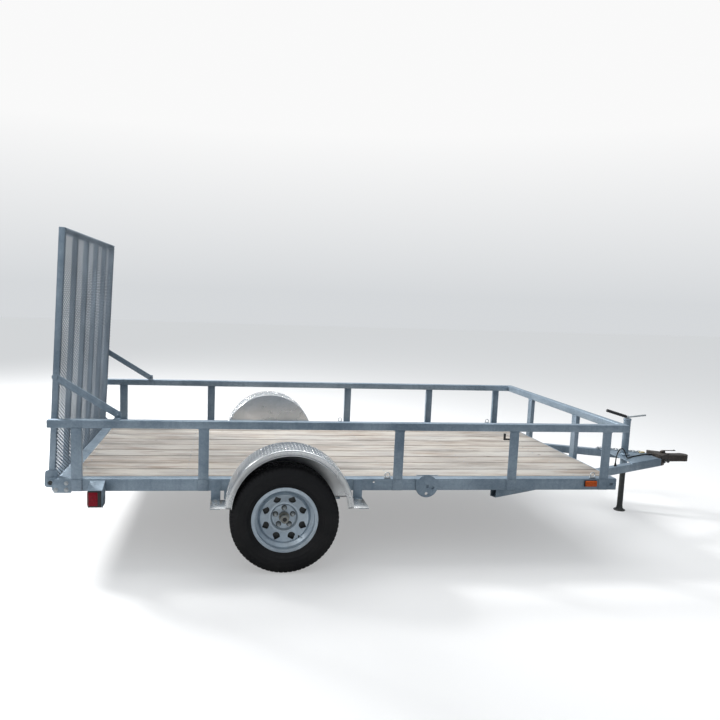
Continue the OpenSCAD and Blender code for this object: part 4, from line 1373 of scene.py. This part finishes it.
@dataclass
class RoadWheel(SubAssembly):
    """One wheel: a trailer tyre with real tread, the steel disc wheel and its hub."""

    side: Side
    tyre_steps: int = 360
    groove_depth: float = 0.0065
    groove_half: float = 0.0038
    groove_places: tuple[float, ...] = (0.046, 0.0155, -0.0155, -0.046)
    tread_half: float = 0.0655
    rib_half: float = 0.015
    crown: float = 0.35
    sipe_every: int = 5
    sipe_depth: float = 0.0048
    sipe_reach: float = 0.0225
    shoulder_from: float = 0.06
    nuts: int = 5
    nut_circle: float = 0.05715
    bead_bar: float = 0.0016
    bead_radius: float = 0.1909
    flange_radius: float = 0.208

    @property
    def body(self) -> str:
        """The frame's body that the wheel turns with."""
        return f"{self.side.word}_wheel"

    def build(self) -> None:
        """Makes the tyre, and dresses and completes the wheel and hub."""
        low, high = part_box(f"tyre_{self.side.word}")
        centre = (low + high) / 2
        out = Y_AXIS * self.side.value
        self._tyre(centre, out, (high.z - low.z) / 2, (high.y - low.y) / 2)
        self._wheel(centre, out)

    def _profile(self, radius: float, wall: float) -> Outline:
        """The tyre's outline: distance from the axle and from the middle plane, side by side."""
        flange = self.flange_radius
        outside = [
            (self.bead_radius, 0.0640), (flange, 0.0668), (flange, 0.0728),
            (flange + 0.006, 0.0790), (flange + 0.010, 0.0800), (flange + 0.012, 0.0822),
            (flange + 0.015, 0.0852), (flange + 0.028, wall - 0.0070),
            (flange + 0.030, wall - 0.0054), (flange + 0.033, wall - 0.0052),
            (flange + 0.035, wall - 0.0056), (flange + 0.046, wall - 0.0016),
            (flange + 0.054, wall), (flange + 0.066, wall - 0.0010),
            (flange + 0.078, wall - 0.0034), (flange + 0.080, wall - 0.0028),
            (flange + 0.084, wall - 0.0034), (flange + 0.086, wall - 0.0048),
            (flange + 0.100, wall - 0.0096), (radius - 0.020, wall - 0.0150),
            (radius - 0.011, wall - 0.0216), (radius - 0.005, wall - 0.0290),
        ]
        edge = self.tread_half
        tread: Outline = [(self._crown(radius, edge), edge)]
        for place in self.groove_places:
            for offset, depth in (
                (self.groove_half, 0.0), (self.groove_half - 0.001, self.groove_depth),
                (0.001 - self.groove_half, self.groove_depth), (-self.groove_half, 0.0),
            ):
                tread.append((self._crown(radius, place + offset) - depth, place + offset))
            tread.append((self._crown(radius, place - self.rib_half), place - self.rib_half))
        tread[-1] = (self._crown(radius, -edge), -edge)
        inside = [(r, -d) for r, d in reversed(outside)]
        return outside + tread + inside

    def _crown(self, radius: float, place: float) -> float:
        """The tread's radius at a distance from the middle plane."""
        return radius - self.crown * place * place

    def _tyre(self, centre: Vector, out: Vector, radius: float, half_width: float) -> None:
        """Spins the tyre and presses sipes into its ribs and shoulders."""
        model = Model()
        verts = model.lathe(self._profile(radius, half_width), centre, out, self.tyre_steps)
        self._sipes(verts, centre, out, radius)
        piece = model.publish(
            f"tyre_{self.side.word}_tread", self.body, self.finishes.tyre, Slot.TYRE, 32.0
        )
        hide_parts(f"tyre_{self.side.word}")

    def _sipes(
        self, verts: list[bmesh.types.BMVert], centre: Vector, out: Vector, radius: float
    ) -> None:
        """Moves one row of points in every few inwards, staggered from rib to rib."""
        for vert in verts:
            arm = vert.co - centre
            place = arm.dot(out)
            radial = arm - out * place
            if radial.length < radius - self.sipe_reach:
                continue
            column = round(math.atan2(radial.x, radial.z) / math.tau * self.tyre_steps)
            rib = sum(place < groove for groove in self.groove_places)
            shoulder = abs(place) > self.shoulder_from
            floor_half = self.groove_half - 0.0002
            in_groove = any(abs(place - groove) < floor_half for groove in self.groove_places)
            if in_groove or (column + 2 * rib) % self.sipe_every:
                continue
            vert.co -= radial.normalized() * self.sipe_depth * (0.55 if shoulder else 1.0)
            if shoulder:
                vert.co -= out * math.copysign(self.sipe_depth * 0.5, place)

    def _wheel(self, centre: Vector, out: Vector) -> None:
        """Dresses the disc wheel, and adds its valve, hub plug, nuts and beads, and a dark drum
        behind the disc as painted shade seen through its vents.
        """
        dress(f"rim_{self.side.word}", self.finishes.wheel)
        dress(f"hub_{self.side.word}", self.finishes.hub)
        low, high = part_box(f"hub_{self.side.word}")
        tip = low.y if self.side is Side.RIGHT else high.y
        end = Vector((centre.x, tip, centre.z))
        model = Model()
        model.lathe(
            [(0.0, 0.0035), (0.008, 0.003), (0.0135, 0.0008), (0.0145, -0.001), (0.0, -0.001)],
            end, out, 28, closed=False,
        )
        valve_way = Vector((0.62, 0.0, -0.78)).normalized()
        root = centre + valve_way * 0.150 + out * 0.024
        tilt = (out + valve_way * -0.15).normalized()
        model.rod(root, root + tilt * 0.012, 0.0075, 20, 0.0055, bevel=0.001)
        model.rod(root + tilt * 0.012, root + tilt * 0.034, 0.0042, 16, bevel=0.0008)
        model.publish(
            f"valve_and_plug_{self.side.word}", self.body, self.finishes.plastic, Slot.PLASTIC
        )
        self._lug_nuts(centre, out)
        # A dark drum behind the disc: painted shade that darkens the view through the wheel's
        # vents.
        drum = Model()
        drum.lathe(
            [(0.034, -0.018), (0.090, -0.018), (0.101, 0.000), (0.148, 0.006), (0.156, 0.002),
             (0.159, -0.010), (0.159, -0.062), (0.163, -0.064), (0.163, -0.070), (0.152, -0.072),
             (0.144, -0.060), (0.136, -0.026), (0.034, -0.026)],
            centre, out, 72,
        )
        drum.publish(f"brake_drum_{self.side.word}", self.body, self.finishes.dark, Slot.DARK)
        rings = Model()
        for radius, depth in ((0.0248, 0.057), (0.0258, 0.018)):
            rings.lathe(round_bar(radius, self.bead_bar, 8, depth), centre, out, 40)
        rings.publish(
            f"hub_cap_beads_{self.side.word}", self.body, self.finishes.zinc_plate, Slot.WHEEL
        )

    def _lug_nuts(self, centre: Vector, out: Vector) -> None:
        """Five coned lug nuts on their studs, each on a dark disc that is painted shade round the
        nut.
        """
        nuts, seat_shade = Model(), Model()
        for k in range(self.nuts):
            angle = math.pi / 2 + math.tau * k / self.nuts
            way = Vector((math.cos(angle), 0.0, math.sin(angle)))
            foot = centre + way * self.nut_circle
            # The dark disc under each nut is painted shade.
            seat_shade.lathe(
                [(0.0, 0.0), (0.0175, 0.0), (0.0175, 0.0012), (0.0140, 0.0022), (0.0, 0.0022)],
                foot, out, 24, closed=False,
            )
            nuts.rod(foot + out * 0.002, foot + out * 0.0205, 0.0124, 6, bevel=0.0012)
            nuts.rod(foot + out * 0.0195, foot + out * 0.0245, 0.0098, 18, 0.0072, bevel=0.0006)
            nuts.rod(foot + out * 0.0240, foot + out * 0.0300, 0.0052, 14, bevel=0.0006)
        nuts.publish(f"lug_nuts_{self.side.word}", self.body, self.finishes.zinc_plate, Slot.WHEEL)
        seat_shade.publish(f"lug_seats_{self.side.word}", self.body, self.finishes.dark, Slot.DARK)


@dataclass
class RunningGear(SubAssembly):
    """Axle, leaf springs, hangers and clamps."""

    edge: float = 0.001
    stem_size: float = 0.03

    def build(self) -> None:
        """Rounds and dresses the running gear, and adds its nuts."""
        dress("axle", self.finishes.dark)
        rounded_copy("leaf_springs", self.edge, self.finishes.dark, Slot.DARK, angle=60.0)
        rounded_copy(
            "spring_hangers", self.edge, self.finishes.galvanised, Slot.GALVANISED, angle=60.0
        )
        dress("spring_clamps", self.finishes.galvanised)
        self._nuts()

    def _nuts(self) -> None:
        """Nuts on the axle clamps' stems and heads on the spring bolts."""
        model = Model()
        for low, high in solids_of("spring_clamps"):
            if high.x - low.x < self.stem_size <= high.z - low.z:
                foot = Vector(((low.x + high.x) / 2, (low.y + high.y) / 2, high.z - 0.016))
                model.bolt(foot, Z_AXIS, 0.0105, 0.010)
        for low, high in solids_of("spring_hangers"):
            middle = (low.x + high.x) / 2
            z = low.z + 0.022
            for y, way in ((low.y, -1.0), (high.y, 1.0)):
                model.bolt(Vector((middle, y, z)), Y_AXIS * way, 0.0125, 0.009)
        model.publish("running_gear_nuts", "chassis", self.finishes.zinc_plate, Slot.GALVANISED)


@dataclass
class TongueAndCoupler(SubAssembly):
    """The A-frame tongue with its plate, the ball coupler and the safety chain."""

    tube_round: float = 0.0022
    link_pitch: float = 0.0235
    link_wire: float = 0.0028
    link_radius: float = 0.0075
    link_stretch: float = 0.0075
    hook_stretch: float = 0.018
    bolt_circle: float = 0.0355
    chain_route: tuple[tuple[float, float], ...] = (
        (1.868, 0.236), (1.905, 0.196), (1.948, 0.186), (1.990, 0.160), (2.022, 0.124),
        (2.062, 0.120), (2.098, 0.094), (2.128, 0.086),
    )

    def build(self) -> None:
        """Makes the tongue's pieces."""
        galvanised = self.finishes.galvanised
        for node in ("tongue_right", "tongue_left"):
            rounded_copy(node, self.tube_round, galvanised, Slot.GALVANISED, segments=3)
        rounded_copy("tongue_plate", 0.001, galvanised, Slot.GALVANISED)
        rounded_copy(
            "coupler", 0.004, self.finishes.coupler, Slot.COUPLER, segments=3, angle=40.0
        )
        rounded_copy("coupler_latch", 0.0016, self.finishes.coupler, Slot.COUPLER)
        self._coupler_details()
        self._chain()
        self._plate_bolts()

    def _coupler_details(self) -> None:
        """Through bolts and the latch's pin and stop on the coupler."""
        low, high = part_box("coupler")
        model = Model()
        for x in (low.x + 0.032, low.x + 0.080):
            half = (high.y - low.y) / 2 * (1.0 - (x - low.x) * 3.6)
            for way in (-1.0, 1.0):
                model.bolt(Vector((x, way * half, low.z + 0.034)), Y_AXIS * way, 0.0105, 0.008)
        latch_low, latch_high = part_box("coupler_latch")
        pin = Vector((latch_low.x + 0.017, 0.0, latch_low.z + 0.009))
        model.rod(pin - Y_AXIS * 0.019, pin + Y_AXIS * 0.019, 0.004, 16, bevel=0.0008)
        tip = Vector((latch_high.x - 0.012, 0.0, latch_high.z))
        model.rod(tip, tip + Z_AXIS * 0.004, 0.0055, 16, bevel=0.001)
        model.publish("coupler_bolts", "chassis", self.finishes.dark, Slot.DARK)

    def _plate_bolts(self) -> None:
        """The jack's three flange bolts."""
        model = Model()
        jack_low, jack_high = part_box("jack_tube")
        middle = (jack_low + jack_high) / 2
        _, plate_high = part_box("tongue_plate")
        for k in range(3):
            angle = math.tau * (k / 3 + 0.08)
            way = Vector((math.cos(angle), math.sin(angle), 0.0))
            seat = Vector((middle.x, 0.0, plate_high.z + 0.014)) + way * self.bolt_circle
            model.bolt(seat, Z_AXIS, 0.0068, 0.005)
        model.publish("jack_flange_bolts", "chassis", self.finishes.zinc_plate, Slot.GALVANISED)

    def _link(self, model: Model, centre: Vector, way: Vector, roll: float) -> None:
        """One welded chain link.

        Args:
            model: The chain's model.
            centre: The link's middle.
            way: The chain's direction there.
            roll: The link's turn about the chain, in radians.
        """
        verts = model.lathe(round_bar(self.link_radius, self.link_wire, 7), Vector(), Z_AXIS, 16)
        for vert in verts:
            vert.co.x += math.copysign(self.link_stretch, vert.co.x)
        turn = X_AXIS.rotation_difference(way).to_matrix().to_4x4()
        matrix = Matrix.Translation(centre) @ turn @ Matrix.Rotation(roll, 4, "X")
        bmesh.ops.transform(model.bm, matrix=matrix, verts=verts)

    def _chain(self) -> None:
        """A safety chain lying along the tongue plate, with its hook and anchor."""
        _, plate_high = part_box("tongue_plate")
        rest = plate_high.z + (self.link_radius + self.link_wire) * math.sin(math.pi / 4) + 0.0022
        path = [Vector((x, y, rest)) for x, y in self.chain_route]
        self._links(path)
        self._hook(Vector((path[-1].x + 0.026, path[-1].y - 0.004, plate_high.z + 0.0055)))
        self._anchor(path[0] + Vector((-0.030, 0.004, plate_high.z - path[0].z)))

    def _links(self, path: list[Vector]) -> None:
        """The chain's links, rolled an eighth of a turn to either side by turns."""
        model = Model()
        travelled = 0.0
        count = 0
        for start, end in zip(path, path[1:]):
            way = (end - start).normalized()
            while travelled < (end - start).length:
                roll = math.pi / 4 if count % 2 else -math.pi / 4
                self._link(model, start + way * travelled, way, roll)
                travelled += self.link_pitch
                count += 1
            travelled -= (end - start).length
        model.publish("safety_chain", "chassis", self.finishes.zinc_plate, Slot.GALVANISED, 60.0)

    def _hook(self, spot: Vector) -> None:
        """The snap hook at the chain's end: a drawn-out ring with its latch."""
        hook = Model()
        for vert in hook.lathe(round_bar(0.013, 0.005, 10), spot, Z_AXIS, 28):
            if vert.co.x < spot.x:
                vert.co.x -= self.hook_stretch
        lash_start = spot + Vector((-0.020, 0.010, 0.002))
        hook.rod(lash_start, spot + Vector((0.006, 0.011, 0.002)), 0.0022, 12, bevel=0.0005)
        hook.publish("chain_hook", "chassis", self.finishes.yellow_zinc, Slot.GALVANISED)

    def _anchor(self, foot: Vector) -> None:
        """The plate and bolt that hold the chain's other end."""
        anchor = Model()
        half = 0.014
        anchor.block(foot - Vector((half, half, 0.0)), foot + Vector((half, half, 0.006)), 0.002)
        anchor.rod(foot, foot + Z_AXIS * 0.016, 0.008, 6, bevel=0.001)
        anchor.publish("chain_anchor", "chassis", self.finishes.zinc_plate, Slot.GALVANISED)


@dataclass
class TongueJack(SubAssembly):
    """The screw jack: fixed tube with its cap and flange, cranked handle, and the drop leg."""

    sides: int = 56
    flange: float = 0.014
    cap: float = 0.014
    wall: float = 0.0055
    running_gap: float = 0.0003
    arm_length: float = 0.160
    arm_angle: float = math.radians(84)
    grip_length: float = 0.185
    grip_angle: float = math.radians(74)
    grip_ribs: int = 11

    def build(self) -> None:
        """Makes the jack's pieces."""
        low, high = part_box("jack_tube")
        radius = (high.y - low.y) / 2 - self.flange
        centre = Vector(((low.x + high.x) / 2, (low.y + high.y) / 2, low.z))
        self._tube(centre, radius, high.z - low.z)
        self._handle(Vector((centre.x, centre.y, high.z)))
        self._leg(radius)

    def _tube(self, foot: Vector, radius: float, height: float) -> None:
        """The fixed tube, flange, cap and grease nipple."""
        _, plate_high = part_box("tongue_plate")
        flange_z = plate_high.z - foot.z
        rim = radius + self.flange
        profile = [
            (radius - self.wall, 0.0), (radius - 0.001, 0.0), (radius, 0.001), (radius, flange_z),
            (rim - 0.002, flange_z), (rim, flange_z + 0.002),
            (rim, flange_z + 0.012), (rim - 0.002, flange_z + 0.014),
            (radius + 0.004, flange_z + 0.014), (radius, flange_z + 0.018),
            (radius, height - self.cap - 0.002), (radius + 0.003, height - self.cap),
            (radius + 0.003, height - 0.005), (radius, height), (0.0, height),
            (0.0, height - 0.026), (radius - self.wall, height - 0.026),
        ]
        model = Model()
        model.lathe(profile, foot, Z_AXIS, self.sides)
        nipple = foot + Vector((0.0, -radius, height - 0.06))
        model.rod(nipple, nipple - Y_AXIS * 0.007, 0.0035, 12, bevel=0.0008)
        piece = model.publish(
            "jack_tube_spun", "chassis", self.finishes.galvanised, Slot.GALVANISED
        )
        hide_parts("jack_tube")

    def _handle(self, top: Vector) -> None:
        """The crank: hub, bent steel arm and ribbed rubber grip."""
        steel = Model()
        steel.lathe(
            [(0.0, 0.0), (0.013, 0.0), (0.013, 0.018), (0.010, 0.022), (0.0, 0.022)],
            top, Z_AXIS, 28, closed=False,
        )
        arm_way = Vector((math.sin(self.arm_angle), 0.0, math.cos(self.arm_angle)))
        start = top + Z_AXIS * 0.012
        steel.rod(start, start + arm_way * self.arm_length, 0.007, bevel=0.001)
        piece = steel.publish("jack_crank_arm", "chassis", self.finishes.zinc_plate, Slot.DARK)
        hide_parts("jack_crank")
        grip = Model()
        grip_way = Vector((-math.sin(self.grip_angle), 0.0, math.cos(self.grip_angle)))
        root = top + Vector((-0.012, 0.0, 0.015))
        length = self.grip_length
        profile = [(0.0, 0.0), (0.0105, 0.0), (0.0118, 0.003)]
        for i in range(self.grip_ribs):
            place = 0.012 + (length - 0.030) * i / (self.grip_ribs - 1)
            profile += [(0.0115, place), (0.0130, place + 0.003), (0.0130, place + 0.008),
                        (0.0115, place + 0.011)]
        profile += [(0.0128, length - 0.004), (0.0105, length), (0.0, length)]
        grip.lathe(profile, root, grip_way, 28, closed=False)
        grip.publish("jack_crank_grip", "chassis", self.finishes.plastic, Slot.PLASTIC)

    def _leg(self, radius: float) -> None:
        """The drop leg with its dished foot, in dark paint: painted shade on a galvanised leg."""
        low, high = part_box("jack_leg")
        centre = Vector(((low.x + high.x) / 2, (low.y + high.y) / 2, low.z))
        leg = radius - self.wall - self.running_gap
        foot = (high.y - low.y) / 2
        tall = high.z - low.z
        profile = [
            (0.0, 0.0), (foot - 0.002, 0.0), (foot, 0.002), (foot, 0.006), (foot - 0.002, 0.008),
            (leg + 0.014, 0.0085), (leg + 0.004, 0.022), (leg, 0.042), (leg, tall - 0.002),
            (leg - 0.002, tall), (0.0, tall),
        ]
        model = Model()
        model.lathe(profile, centre, Z_AXIS, self.sides, closed=False)
        # The dark finish here is painted shade: the leg is galvanised like the tube.
        piece = model.publish("jack_leg_painted_shade", "jack_foot", self.finishes.dark, Slot.DARK)
        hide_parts("jack_leg")


@dataclass
class Lamps(SubAssembly):
    """Square tail lamps with ribbed red lenses, and the amber side markers."""

    border: float = 0.010
    band_x: float = 0.024
    proud: float = 0.004
    ribs: int = 9
    marker_ribs: int = 7
    frame_side: float = 0.958

    def build(self) -> None:
        """Makes both pairs of lamps."""
        housing, lens = Model(), Model()
        for low, high in solids_of("tail_lamps"):
            self._tail_lamp(housing, lens, low, high)
        body = housing.publish("tail_lamp_housings", "chassis", self.finishes.plastic, Slot.RED)
        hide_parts("tail_lamps")
        lens.publish("tail_lamp_lenses", "chassis", self.finishes.red, Slot.RED)
        base, cover = Model(), Model()
        for low, high in solids_of("side_markers"):
            self._marker(base, cover, low, high)
        piece = base.publish("side_marker_bases", "chassis", self.finishes.plastic, Slot.AMBER)
        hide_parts("side_markers")
        cover.publish("side_marker_lenses", "chassis", self.finishes.amber, Slot.AMBER)
        self._wires()

    def _tail_lamp(self, housing: Model, lens: Model, low: Vector, high: Vector) -> None:
        """One tail lamp: the housing, and a lens on its outer and rear faces."""
        out, face, back = outer_face(low, high)
        shell = sorted((face - out * self.proud, back))
        housing.block((low.x + self.proud, shell[0], low.z), (high.x, shell[1], high.z), 0.005, 3)
        band = (low.z + self.border, high.z - self.border)
        side = sorted((face, face - out * 0.020))
        lens.block(
            (low.x + self.border, side[0], band[0]),
            (high.x - self.band_x, side[1], band[1]), 0.004, 3,
        )
        rear = sorted((face - out * self.border, back + out * self.border))
        lens.block((low.x, rear[0], band[0]), (low.x + 0.020, rear[1], band[1]), 0.004, 3)
        for i in range(self.ribs):
            z = band[0] + 0.008 + i * (band[1] - band[0] - 0.016) / (self.ribs - 1)
            rib = sorted((face - out * 0.002, face + out * 0.0012))
            lens.block(
                (low.x + self.border + 0.005, rib[0], z - 0.0012),
                (high.x - self.band_x - 0.005, rib[1], z + 0.0012), 0.0005,
            )
        for z in (low.z + 0.014, high.z - 0.014):
            spot = Vector((high.x - 0.011, face - out * self.proud, z))
            housing.rod(spot, spot + Y_AXIS * out * 0.0025, 0.004, 14, bevel=0.0006)

    def _marker(self, base: Model, cover: Model, low: Vector, high: Vector) -> None:
        """One side marker: a black base and a domed amber lens with ribs."""
        out, face, back = outer_face(low, high)
        pad = sorted((back, back + out * 0.006))
        base.block((low.x, pad[0], low.z), (high.x, pad[1], high.z), 0.002)
        dome = sorted((back + out * 0.004, face))
        cover.block(
            (low.x + 0.003, dome[0], low.z + 0.003),
            (high.x - 0.003, dome[1], high.z - 0.003), 0.005, 4,
        )
        for i in range(self.marker_ribs):
            x = low.x + 0.016 + i * (high.x - low.x - 0.032) / (self.marker_ribs - 1)
            rib = sorted((face, face + out * 0.0008))
            cover.block((x - 0.001, rib[0], low.z + 0.010), (x + 0.001, rib[1], high.z - 0.010))

    def _wires(self) -> None:
        """The short sheathed leads from each tail lamp into the frame."""
        model = Model()
        for low, high in solids_of("tail_lamps"):
            out, _, back = outer_face(low, high)
            start = Vector((high.x - 0.03, back, (low.z + high.z) / 2))
            end = Vector((start.x + 0.012, out * self.frame_side, start.z + 0.020))
            model.rod(start + Y_AXIS * out * 0.002, end, 0.0035, 14)
        model.publish("lamp_leads", "chassis", self.finishes.jacket, Slot.CABLE)


@dataclass
class RampGate(SubAssembly):
    """The ramp gate: tube frame, ribs, expanded mesh, lugs and the two braces."""

    lean: float = math.radians(3)
    tube_round: float = 0.0035
    strand_width: float = 0.0056
    strand_depth: float = 0.0042
    strand_tilt: float = math.radians(34)
    diamond_long: float = 0.0508
    diamond_short: float = 0.0242
    sheet_half: float = 0.879
    sheet_low: float = 0.006
    sheet_high: float = 1.570
    half_tube: float = 0.019
    rib_places: tuple[float, ...] = (-0.529992, -0.176664, 0.176664, 0.529992)
    tube_inset: float = 0.032
    weld_half: float = 0.016

    def build(self) -> None:
        """Makes the gate's pieces, and the braces on their own bodies."""
        galvanised = self.finishes.galvanised
        for node in ("gate_side_bars", "gate_cross_bars"):
            rounded_copy(
                node, self.tube_round, galvanised, Slot.GALVANISED, "ramp_gate", segments=3
            )
        rounded_copy("gate_ribs", 0.001, galvanised, Slot.GALVANISED, "ramp_gate")
        rounded_copy(
            "gate_hinge_lugs", 0.0012, galvanised, Slot.GALVANISED, "ramp_gate", angle=60.0
        )
        for side in Side:
            rounded_copy(
                f"brace_{side.word}", 0.0016, galvanised, Slot.GALVANISED, f"{side.word}_brace",
                angle=60.0,
            )
        self._mesh()
        self._welds()

    def _place(self) -> Matrix:
        """The turn and move from the gate's own axes to the trailer's."""
        return Matrix.Translation(gate_hinge_point()) @ Matrix.Rotation(self.lean, 4, "Y")

    def _strand(self, model: Model, start: Vector, end: Vector) -> None:
        """One tilted strand of the expanded mesh, from bond to bond."""
        run = end - start
        way = run.normalized()
        turn = Matrix((way, X_AXIS.cross(way), X_AXIS)).transposed().to_4x4()
        size = (run.length + self.strand_width * 0.9, self.strand_width, self.strand_depth)
        matrix = (
            Matrix.Translation((start + end) / 2) @ turn
            @ Matrix.Rotation(math.copysign(self.strand_tilt, run.y * run.z), 4, "X")
            @ Matrix.Diagonal((*size, 1.0))
        )
        bmesh.ops.create_cube(model.bm, size=1.0, matrix=matrix)

    def _mesh(self) -> None:
        """The expanded sheet: one diamond's strands, repeated across and then upwards."""
        width = 2 * self.sheet_half
        height = self.sheet_high - self.sheet_low
        columns = round(width / self.diamond_long)
        rows = round(height / self.diamond_short)
        pitch = width / columns
        rise = height / rows / 2
        depth = self.half_tube + 0.0015
        model = Model()
        knots = [(0.0, 0.0), (pitch / 2, rise), (pitch, 0.0)]
        for flip in (1.0, -1.0):
            base = rise * (1 - flip)
            points = [
                Vector((depth, y - self.sheet_half, self.sheet_low + base + z * flip))
                for y, z in knots
            ]
            for start, end in zip(points, points[1:]):
                self._strand(model, start, end)
        model.repeat(Vector((0.0, pitch, 0.0)), columns)
        model.repeat(Vector((0.0, 0.0, 2 * rise)), rows)
        model.move(self._place())
        # Its finish is the darkened galvanised steel: painted shade.
        piece = model.publish(
            "gate_expanded_mesh", "ramp_gate", self.finishes.mesh, Slot.MESH, turn_out=False
        )
        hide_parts("gate_mesh")

    def _welds(self) -> None:
        """Beads where the ribs and the cross bars meet the gate's frame."""
        model = Model()
        levels = (self.half_tube, self.sheet_high - self.tube_inset)
        depth = self.half_tube - 0.004
        for y in self.rib_places:
            for z in levels:
                model.weld(
                    Vector((depth, y - self.weld_half, z)),
                    Vector((depth, y + self.weld_half, z)), 0.0028,
                )
        for way in (-1.0, 1.0):
            for z in levels:
                spot = Vector((self.half_tube, way * (self.sheet_half - self.tube_inset), z))
                model.weld(spot, spot + Vector((-0.036, 0.0, 0.0)), 0.003)
        model.move(self._place())
        model.publish("gate_welds", "ramp_gate", self.finishes.galvanised, Slot.GALVANISED, 60.0)


# ---- Studio ----


@dataclass
class Studio:
    """Camera, plain pale floor and soft light."""

    eye: Point = (-1.3819, -5.1586, 1.7406)
    yaw: float = -0.12489
    pitch: float = -0.12244
    roll: float = -0.03376
    lens: float = 33.678
    sensor: float = 36.0
    shift: tuple[float, float] = (0.0685, 0.0209)
    floor_half: float = 30.0
    floor_grey: Colour = (0.50, 0.50, 0.50)
    floor_lift: float = 0.36
    sky: tuple[Colour, Colour] = ((0.14, 0.18, 0.23), (0.66, 0.69, 0.71))
    backdrop: tuple[Colour, Colour] = ((0.67, 0.69, 0.71), (0.95, 0.95, 0.95))

    def build_camera(self) -> None:
        """Sets the camera at the viewing angle."""
        data = bpy.data.cameras.new("camera")
        data.lens = self.lens
        data.sensor_width = self.sensor
        data.shift_x, data.shift_y = self.shift
        data.clip_end = 200.0
        camera = bpy.data.objects.new("camera", data)
        bpy.context.scene.collection.objects.link(camera)
        turn = (
            Matrix.Rotation(self.yaw, 3, "Z") @ Matrix.Rotation(self.pitch, 3, "X")
            @ Matrix.Rotation(self.roll, 3, "Y")
        )
        upright = Matrix.Rotation(math.pi / 2, 3, "X")
        camera.matrix_world = Matrix.Translation(self.eye) @ (turn @ upright).to_4x4()
        bpy.context.scene.camera = camera

    def build_room(self) -> None:
        """Makes the floor, the lights and the surrounding light."""
        self._floor()
        self._world()
        self._light("overhead", (0.2, 1.2, 5.2), (0.0, 0.0, 0.4), (6.0, 4.0), 200.0)
        self._light("front_left", (-4.6, -5.6, 3.4), (-0.5, 0.0, 0.7), (3.0, 2.4), 30.0)
        self._light("rear_key", (-6.2, 3.2, 5.4), (0.6, 0.0, 0.6), (1.3, 1.3), 860.0)
        scene = bpy.context.scene
        scene.view_settings.view_transform = "Standard"
        scene.view_settings.look = "None"

    def _floor(self) -> None:
        """A wide pale floor."""
        bm = bmesh.new()
        bmesh.ops.create_grid(bm, x_segments=4, y_segments=4, size=self.floor_half)
        mesh = bpy.data.meshes.new("studio_floor")
        bm.to_mesh(mesh)
        bm.free()
        floor = bpy.data.objects.new("studio_floor", mesh)
        bpy.context.scene.collection.objects.link(floor)
        floor.location.z = -0.0005
        material, sketch, shader = new_material("pale_floor")
        shader.inputs["Base Color"].default_value = rgba(self.floor_grey)
        shader.inputs["Roughness"].default_value = 0.9
        shader.inputs["Emission Color"].default_value = (1.0, 1.0, 1.0, 1.0)
        seen = sketch.add("ShaderNodeLightPath").outputs["Is Camera Ray"]
        lift = sketch.math("MULTIPLY", seen, self.floor_lift)
        sketch.feed(shader.inputs["Emission Strength"], lift)
        mesh.materials.append(material)

    def _world(self) -> None:
        """Light from all round: bright above, a cool grey at the horizon."""
        world = bpy.data.worlds.new("studio_world")
        world.use_nodes = True
        sketch = ShaderSketch(world.node_tree)
        way = sketch.add("ShaderNodeTexCoord").outputs["Generated"]
        height = sketch.add("ShaderNodeSeparateXYZ", {0: way}).outputs[2]
        sky = sketch.mix(sketch.span(height, 0.02, 0.75), *map(rgba, self.sky))
        backdrop = sketch.mix(sketch.span(height, 0.0, 0.22), *map(rgba, self.backdrop))
        seen = sketch.add("ShaderNodeLightPath").outputs["Is Camera Ray"]
        background = world.node_tree.nodes["Background"]
        sketch.feed(background.inputs["Color"], sketch.mix(seen, sky, backdrop))
        background.inputs["Strength"].default_value = 1.0
        bpy.context.scene.world = world

    def _light(
        self, name: str, place: Point, aim: Point, size: tuple[float, float], watts: float
    ) -> None:
        """One soft box light.

        Args:
            name: The light's name.
            place: Where it hangs.
            aim: The point that it faces.
            size: Its width and height.
            watts: Its power.
        """
        data = bpy.data.lights.new(name, "AREA")
        data.shape = "RECTANGLE"
        data.size, data.size_y = size
        data.energy = watts
        lamp = bpy.data.objects.new(name, data)
        bpy.context.scene.collection.objects.link(lamp)
        aim_way = Vector(aim) - Vector(place)
        lamp.location = place
        lamp.rotation_euler = aim_way.to_track_quat("-Z", "Y").to_euler()


def main() -> None:
    """Builds the camera and the wiring lead first, then every sub-assembly and the studio."""
    finishes = Finishes()
    studio = Studio()
    studio.build_camera()
    assemblies: list[SubAssembly] = [
        Harness(finishes),
        DeckTimbers(finishes),
        FrameSteel(finishes),
        PostsAndRails(finishes),
        *(Fender(finishes, side) for side in Side),
        *(RoadWheel(finishes, side) for side in Side),
        RunningGear(finishes),
        TongueAndCoupler(finishes),
        TongueJack(finishes),
        Lamps(finishes),
        RampGate(finishes),
    ]
    for assembly in assemblies:
        LOG.info("%s", type(assembly).__name__)
        assembly.build()
    studio.build_room()


if __name__ == "__main__":
    main()
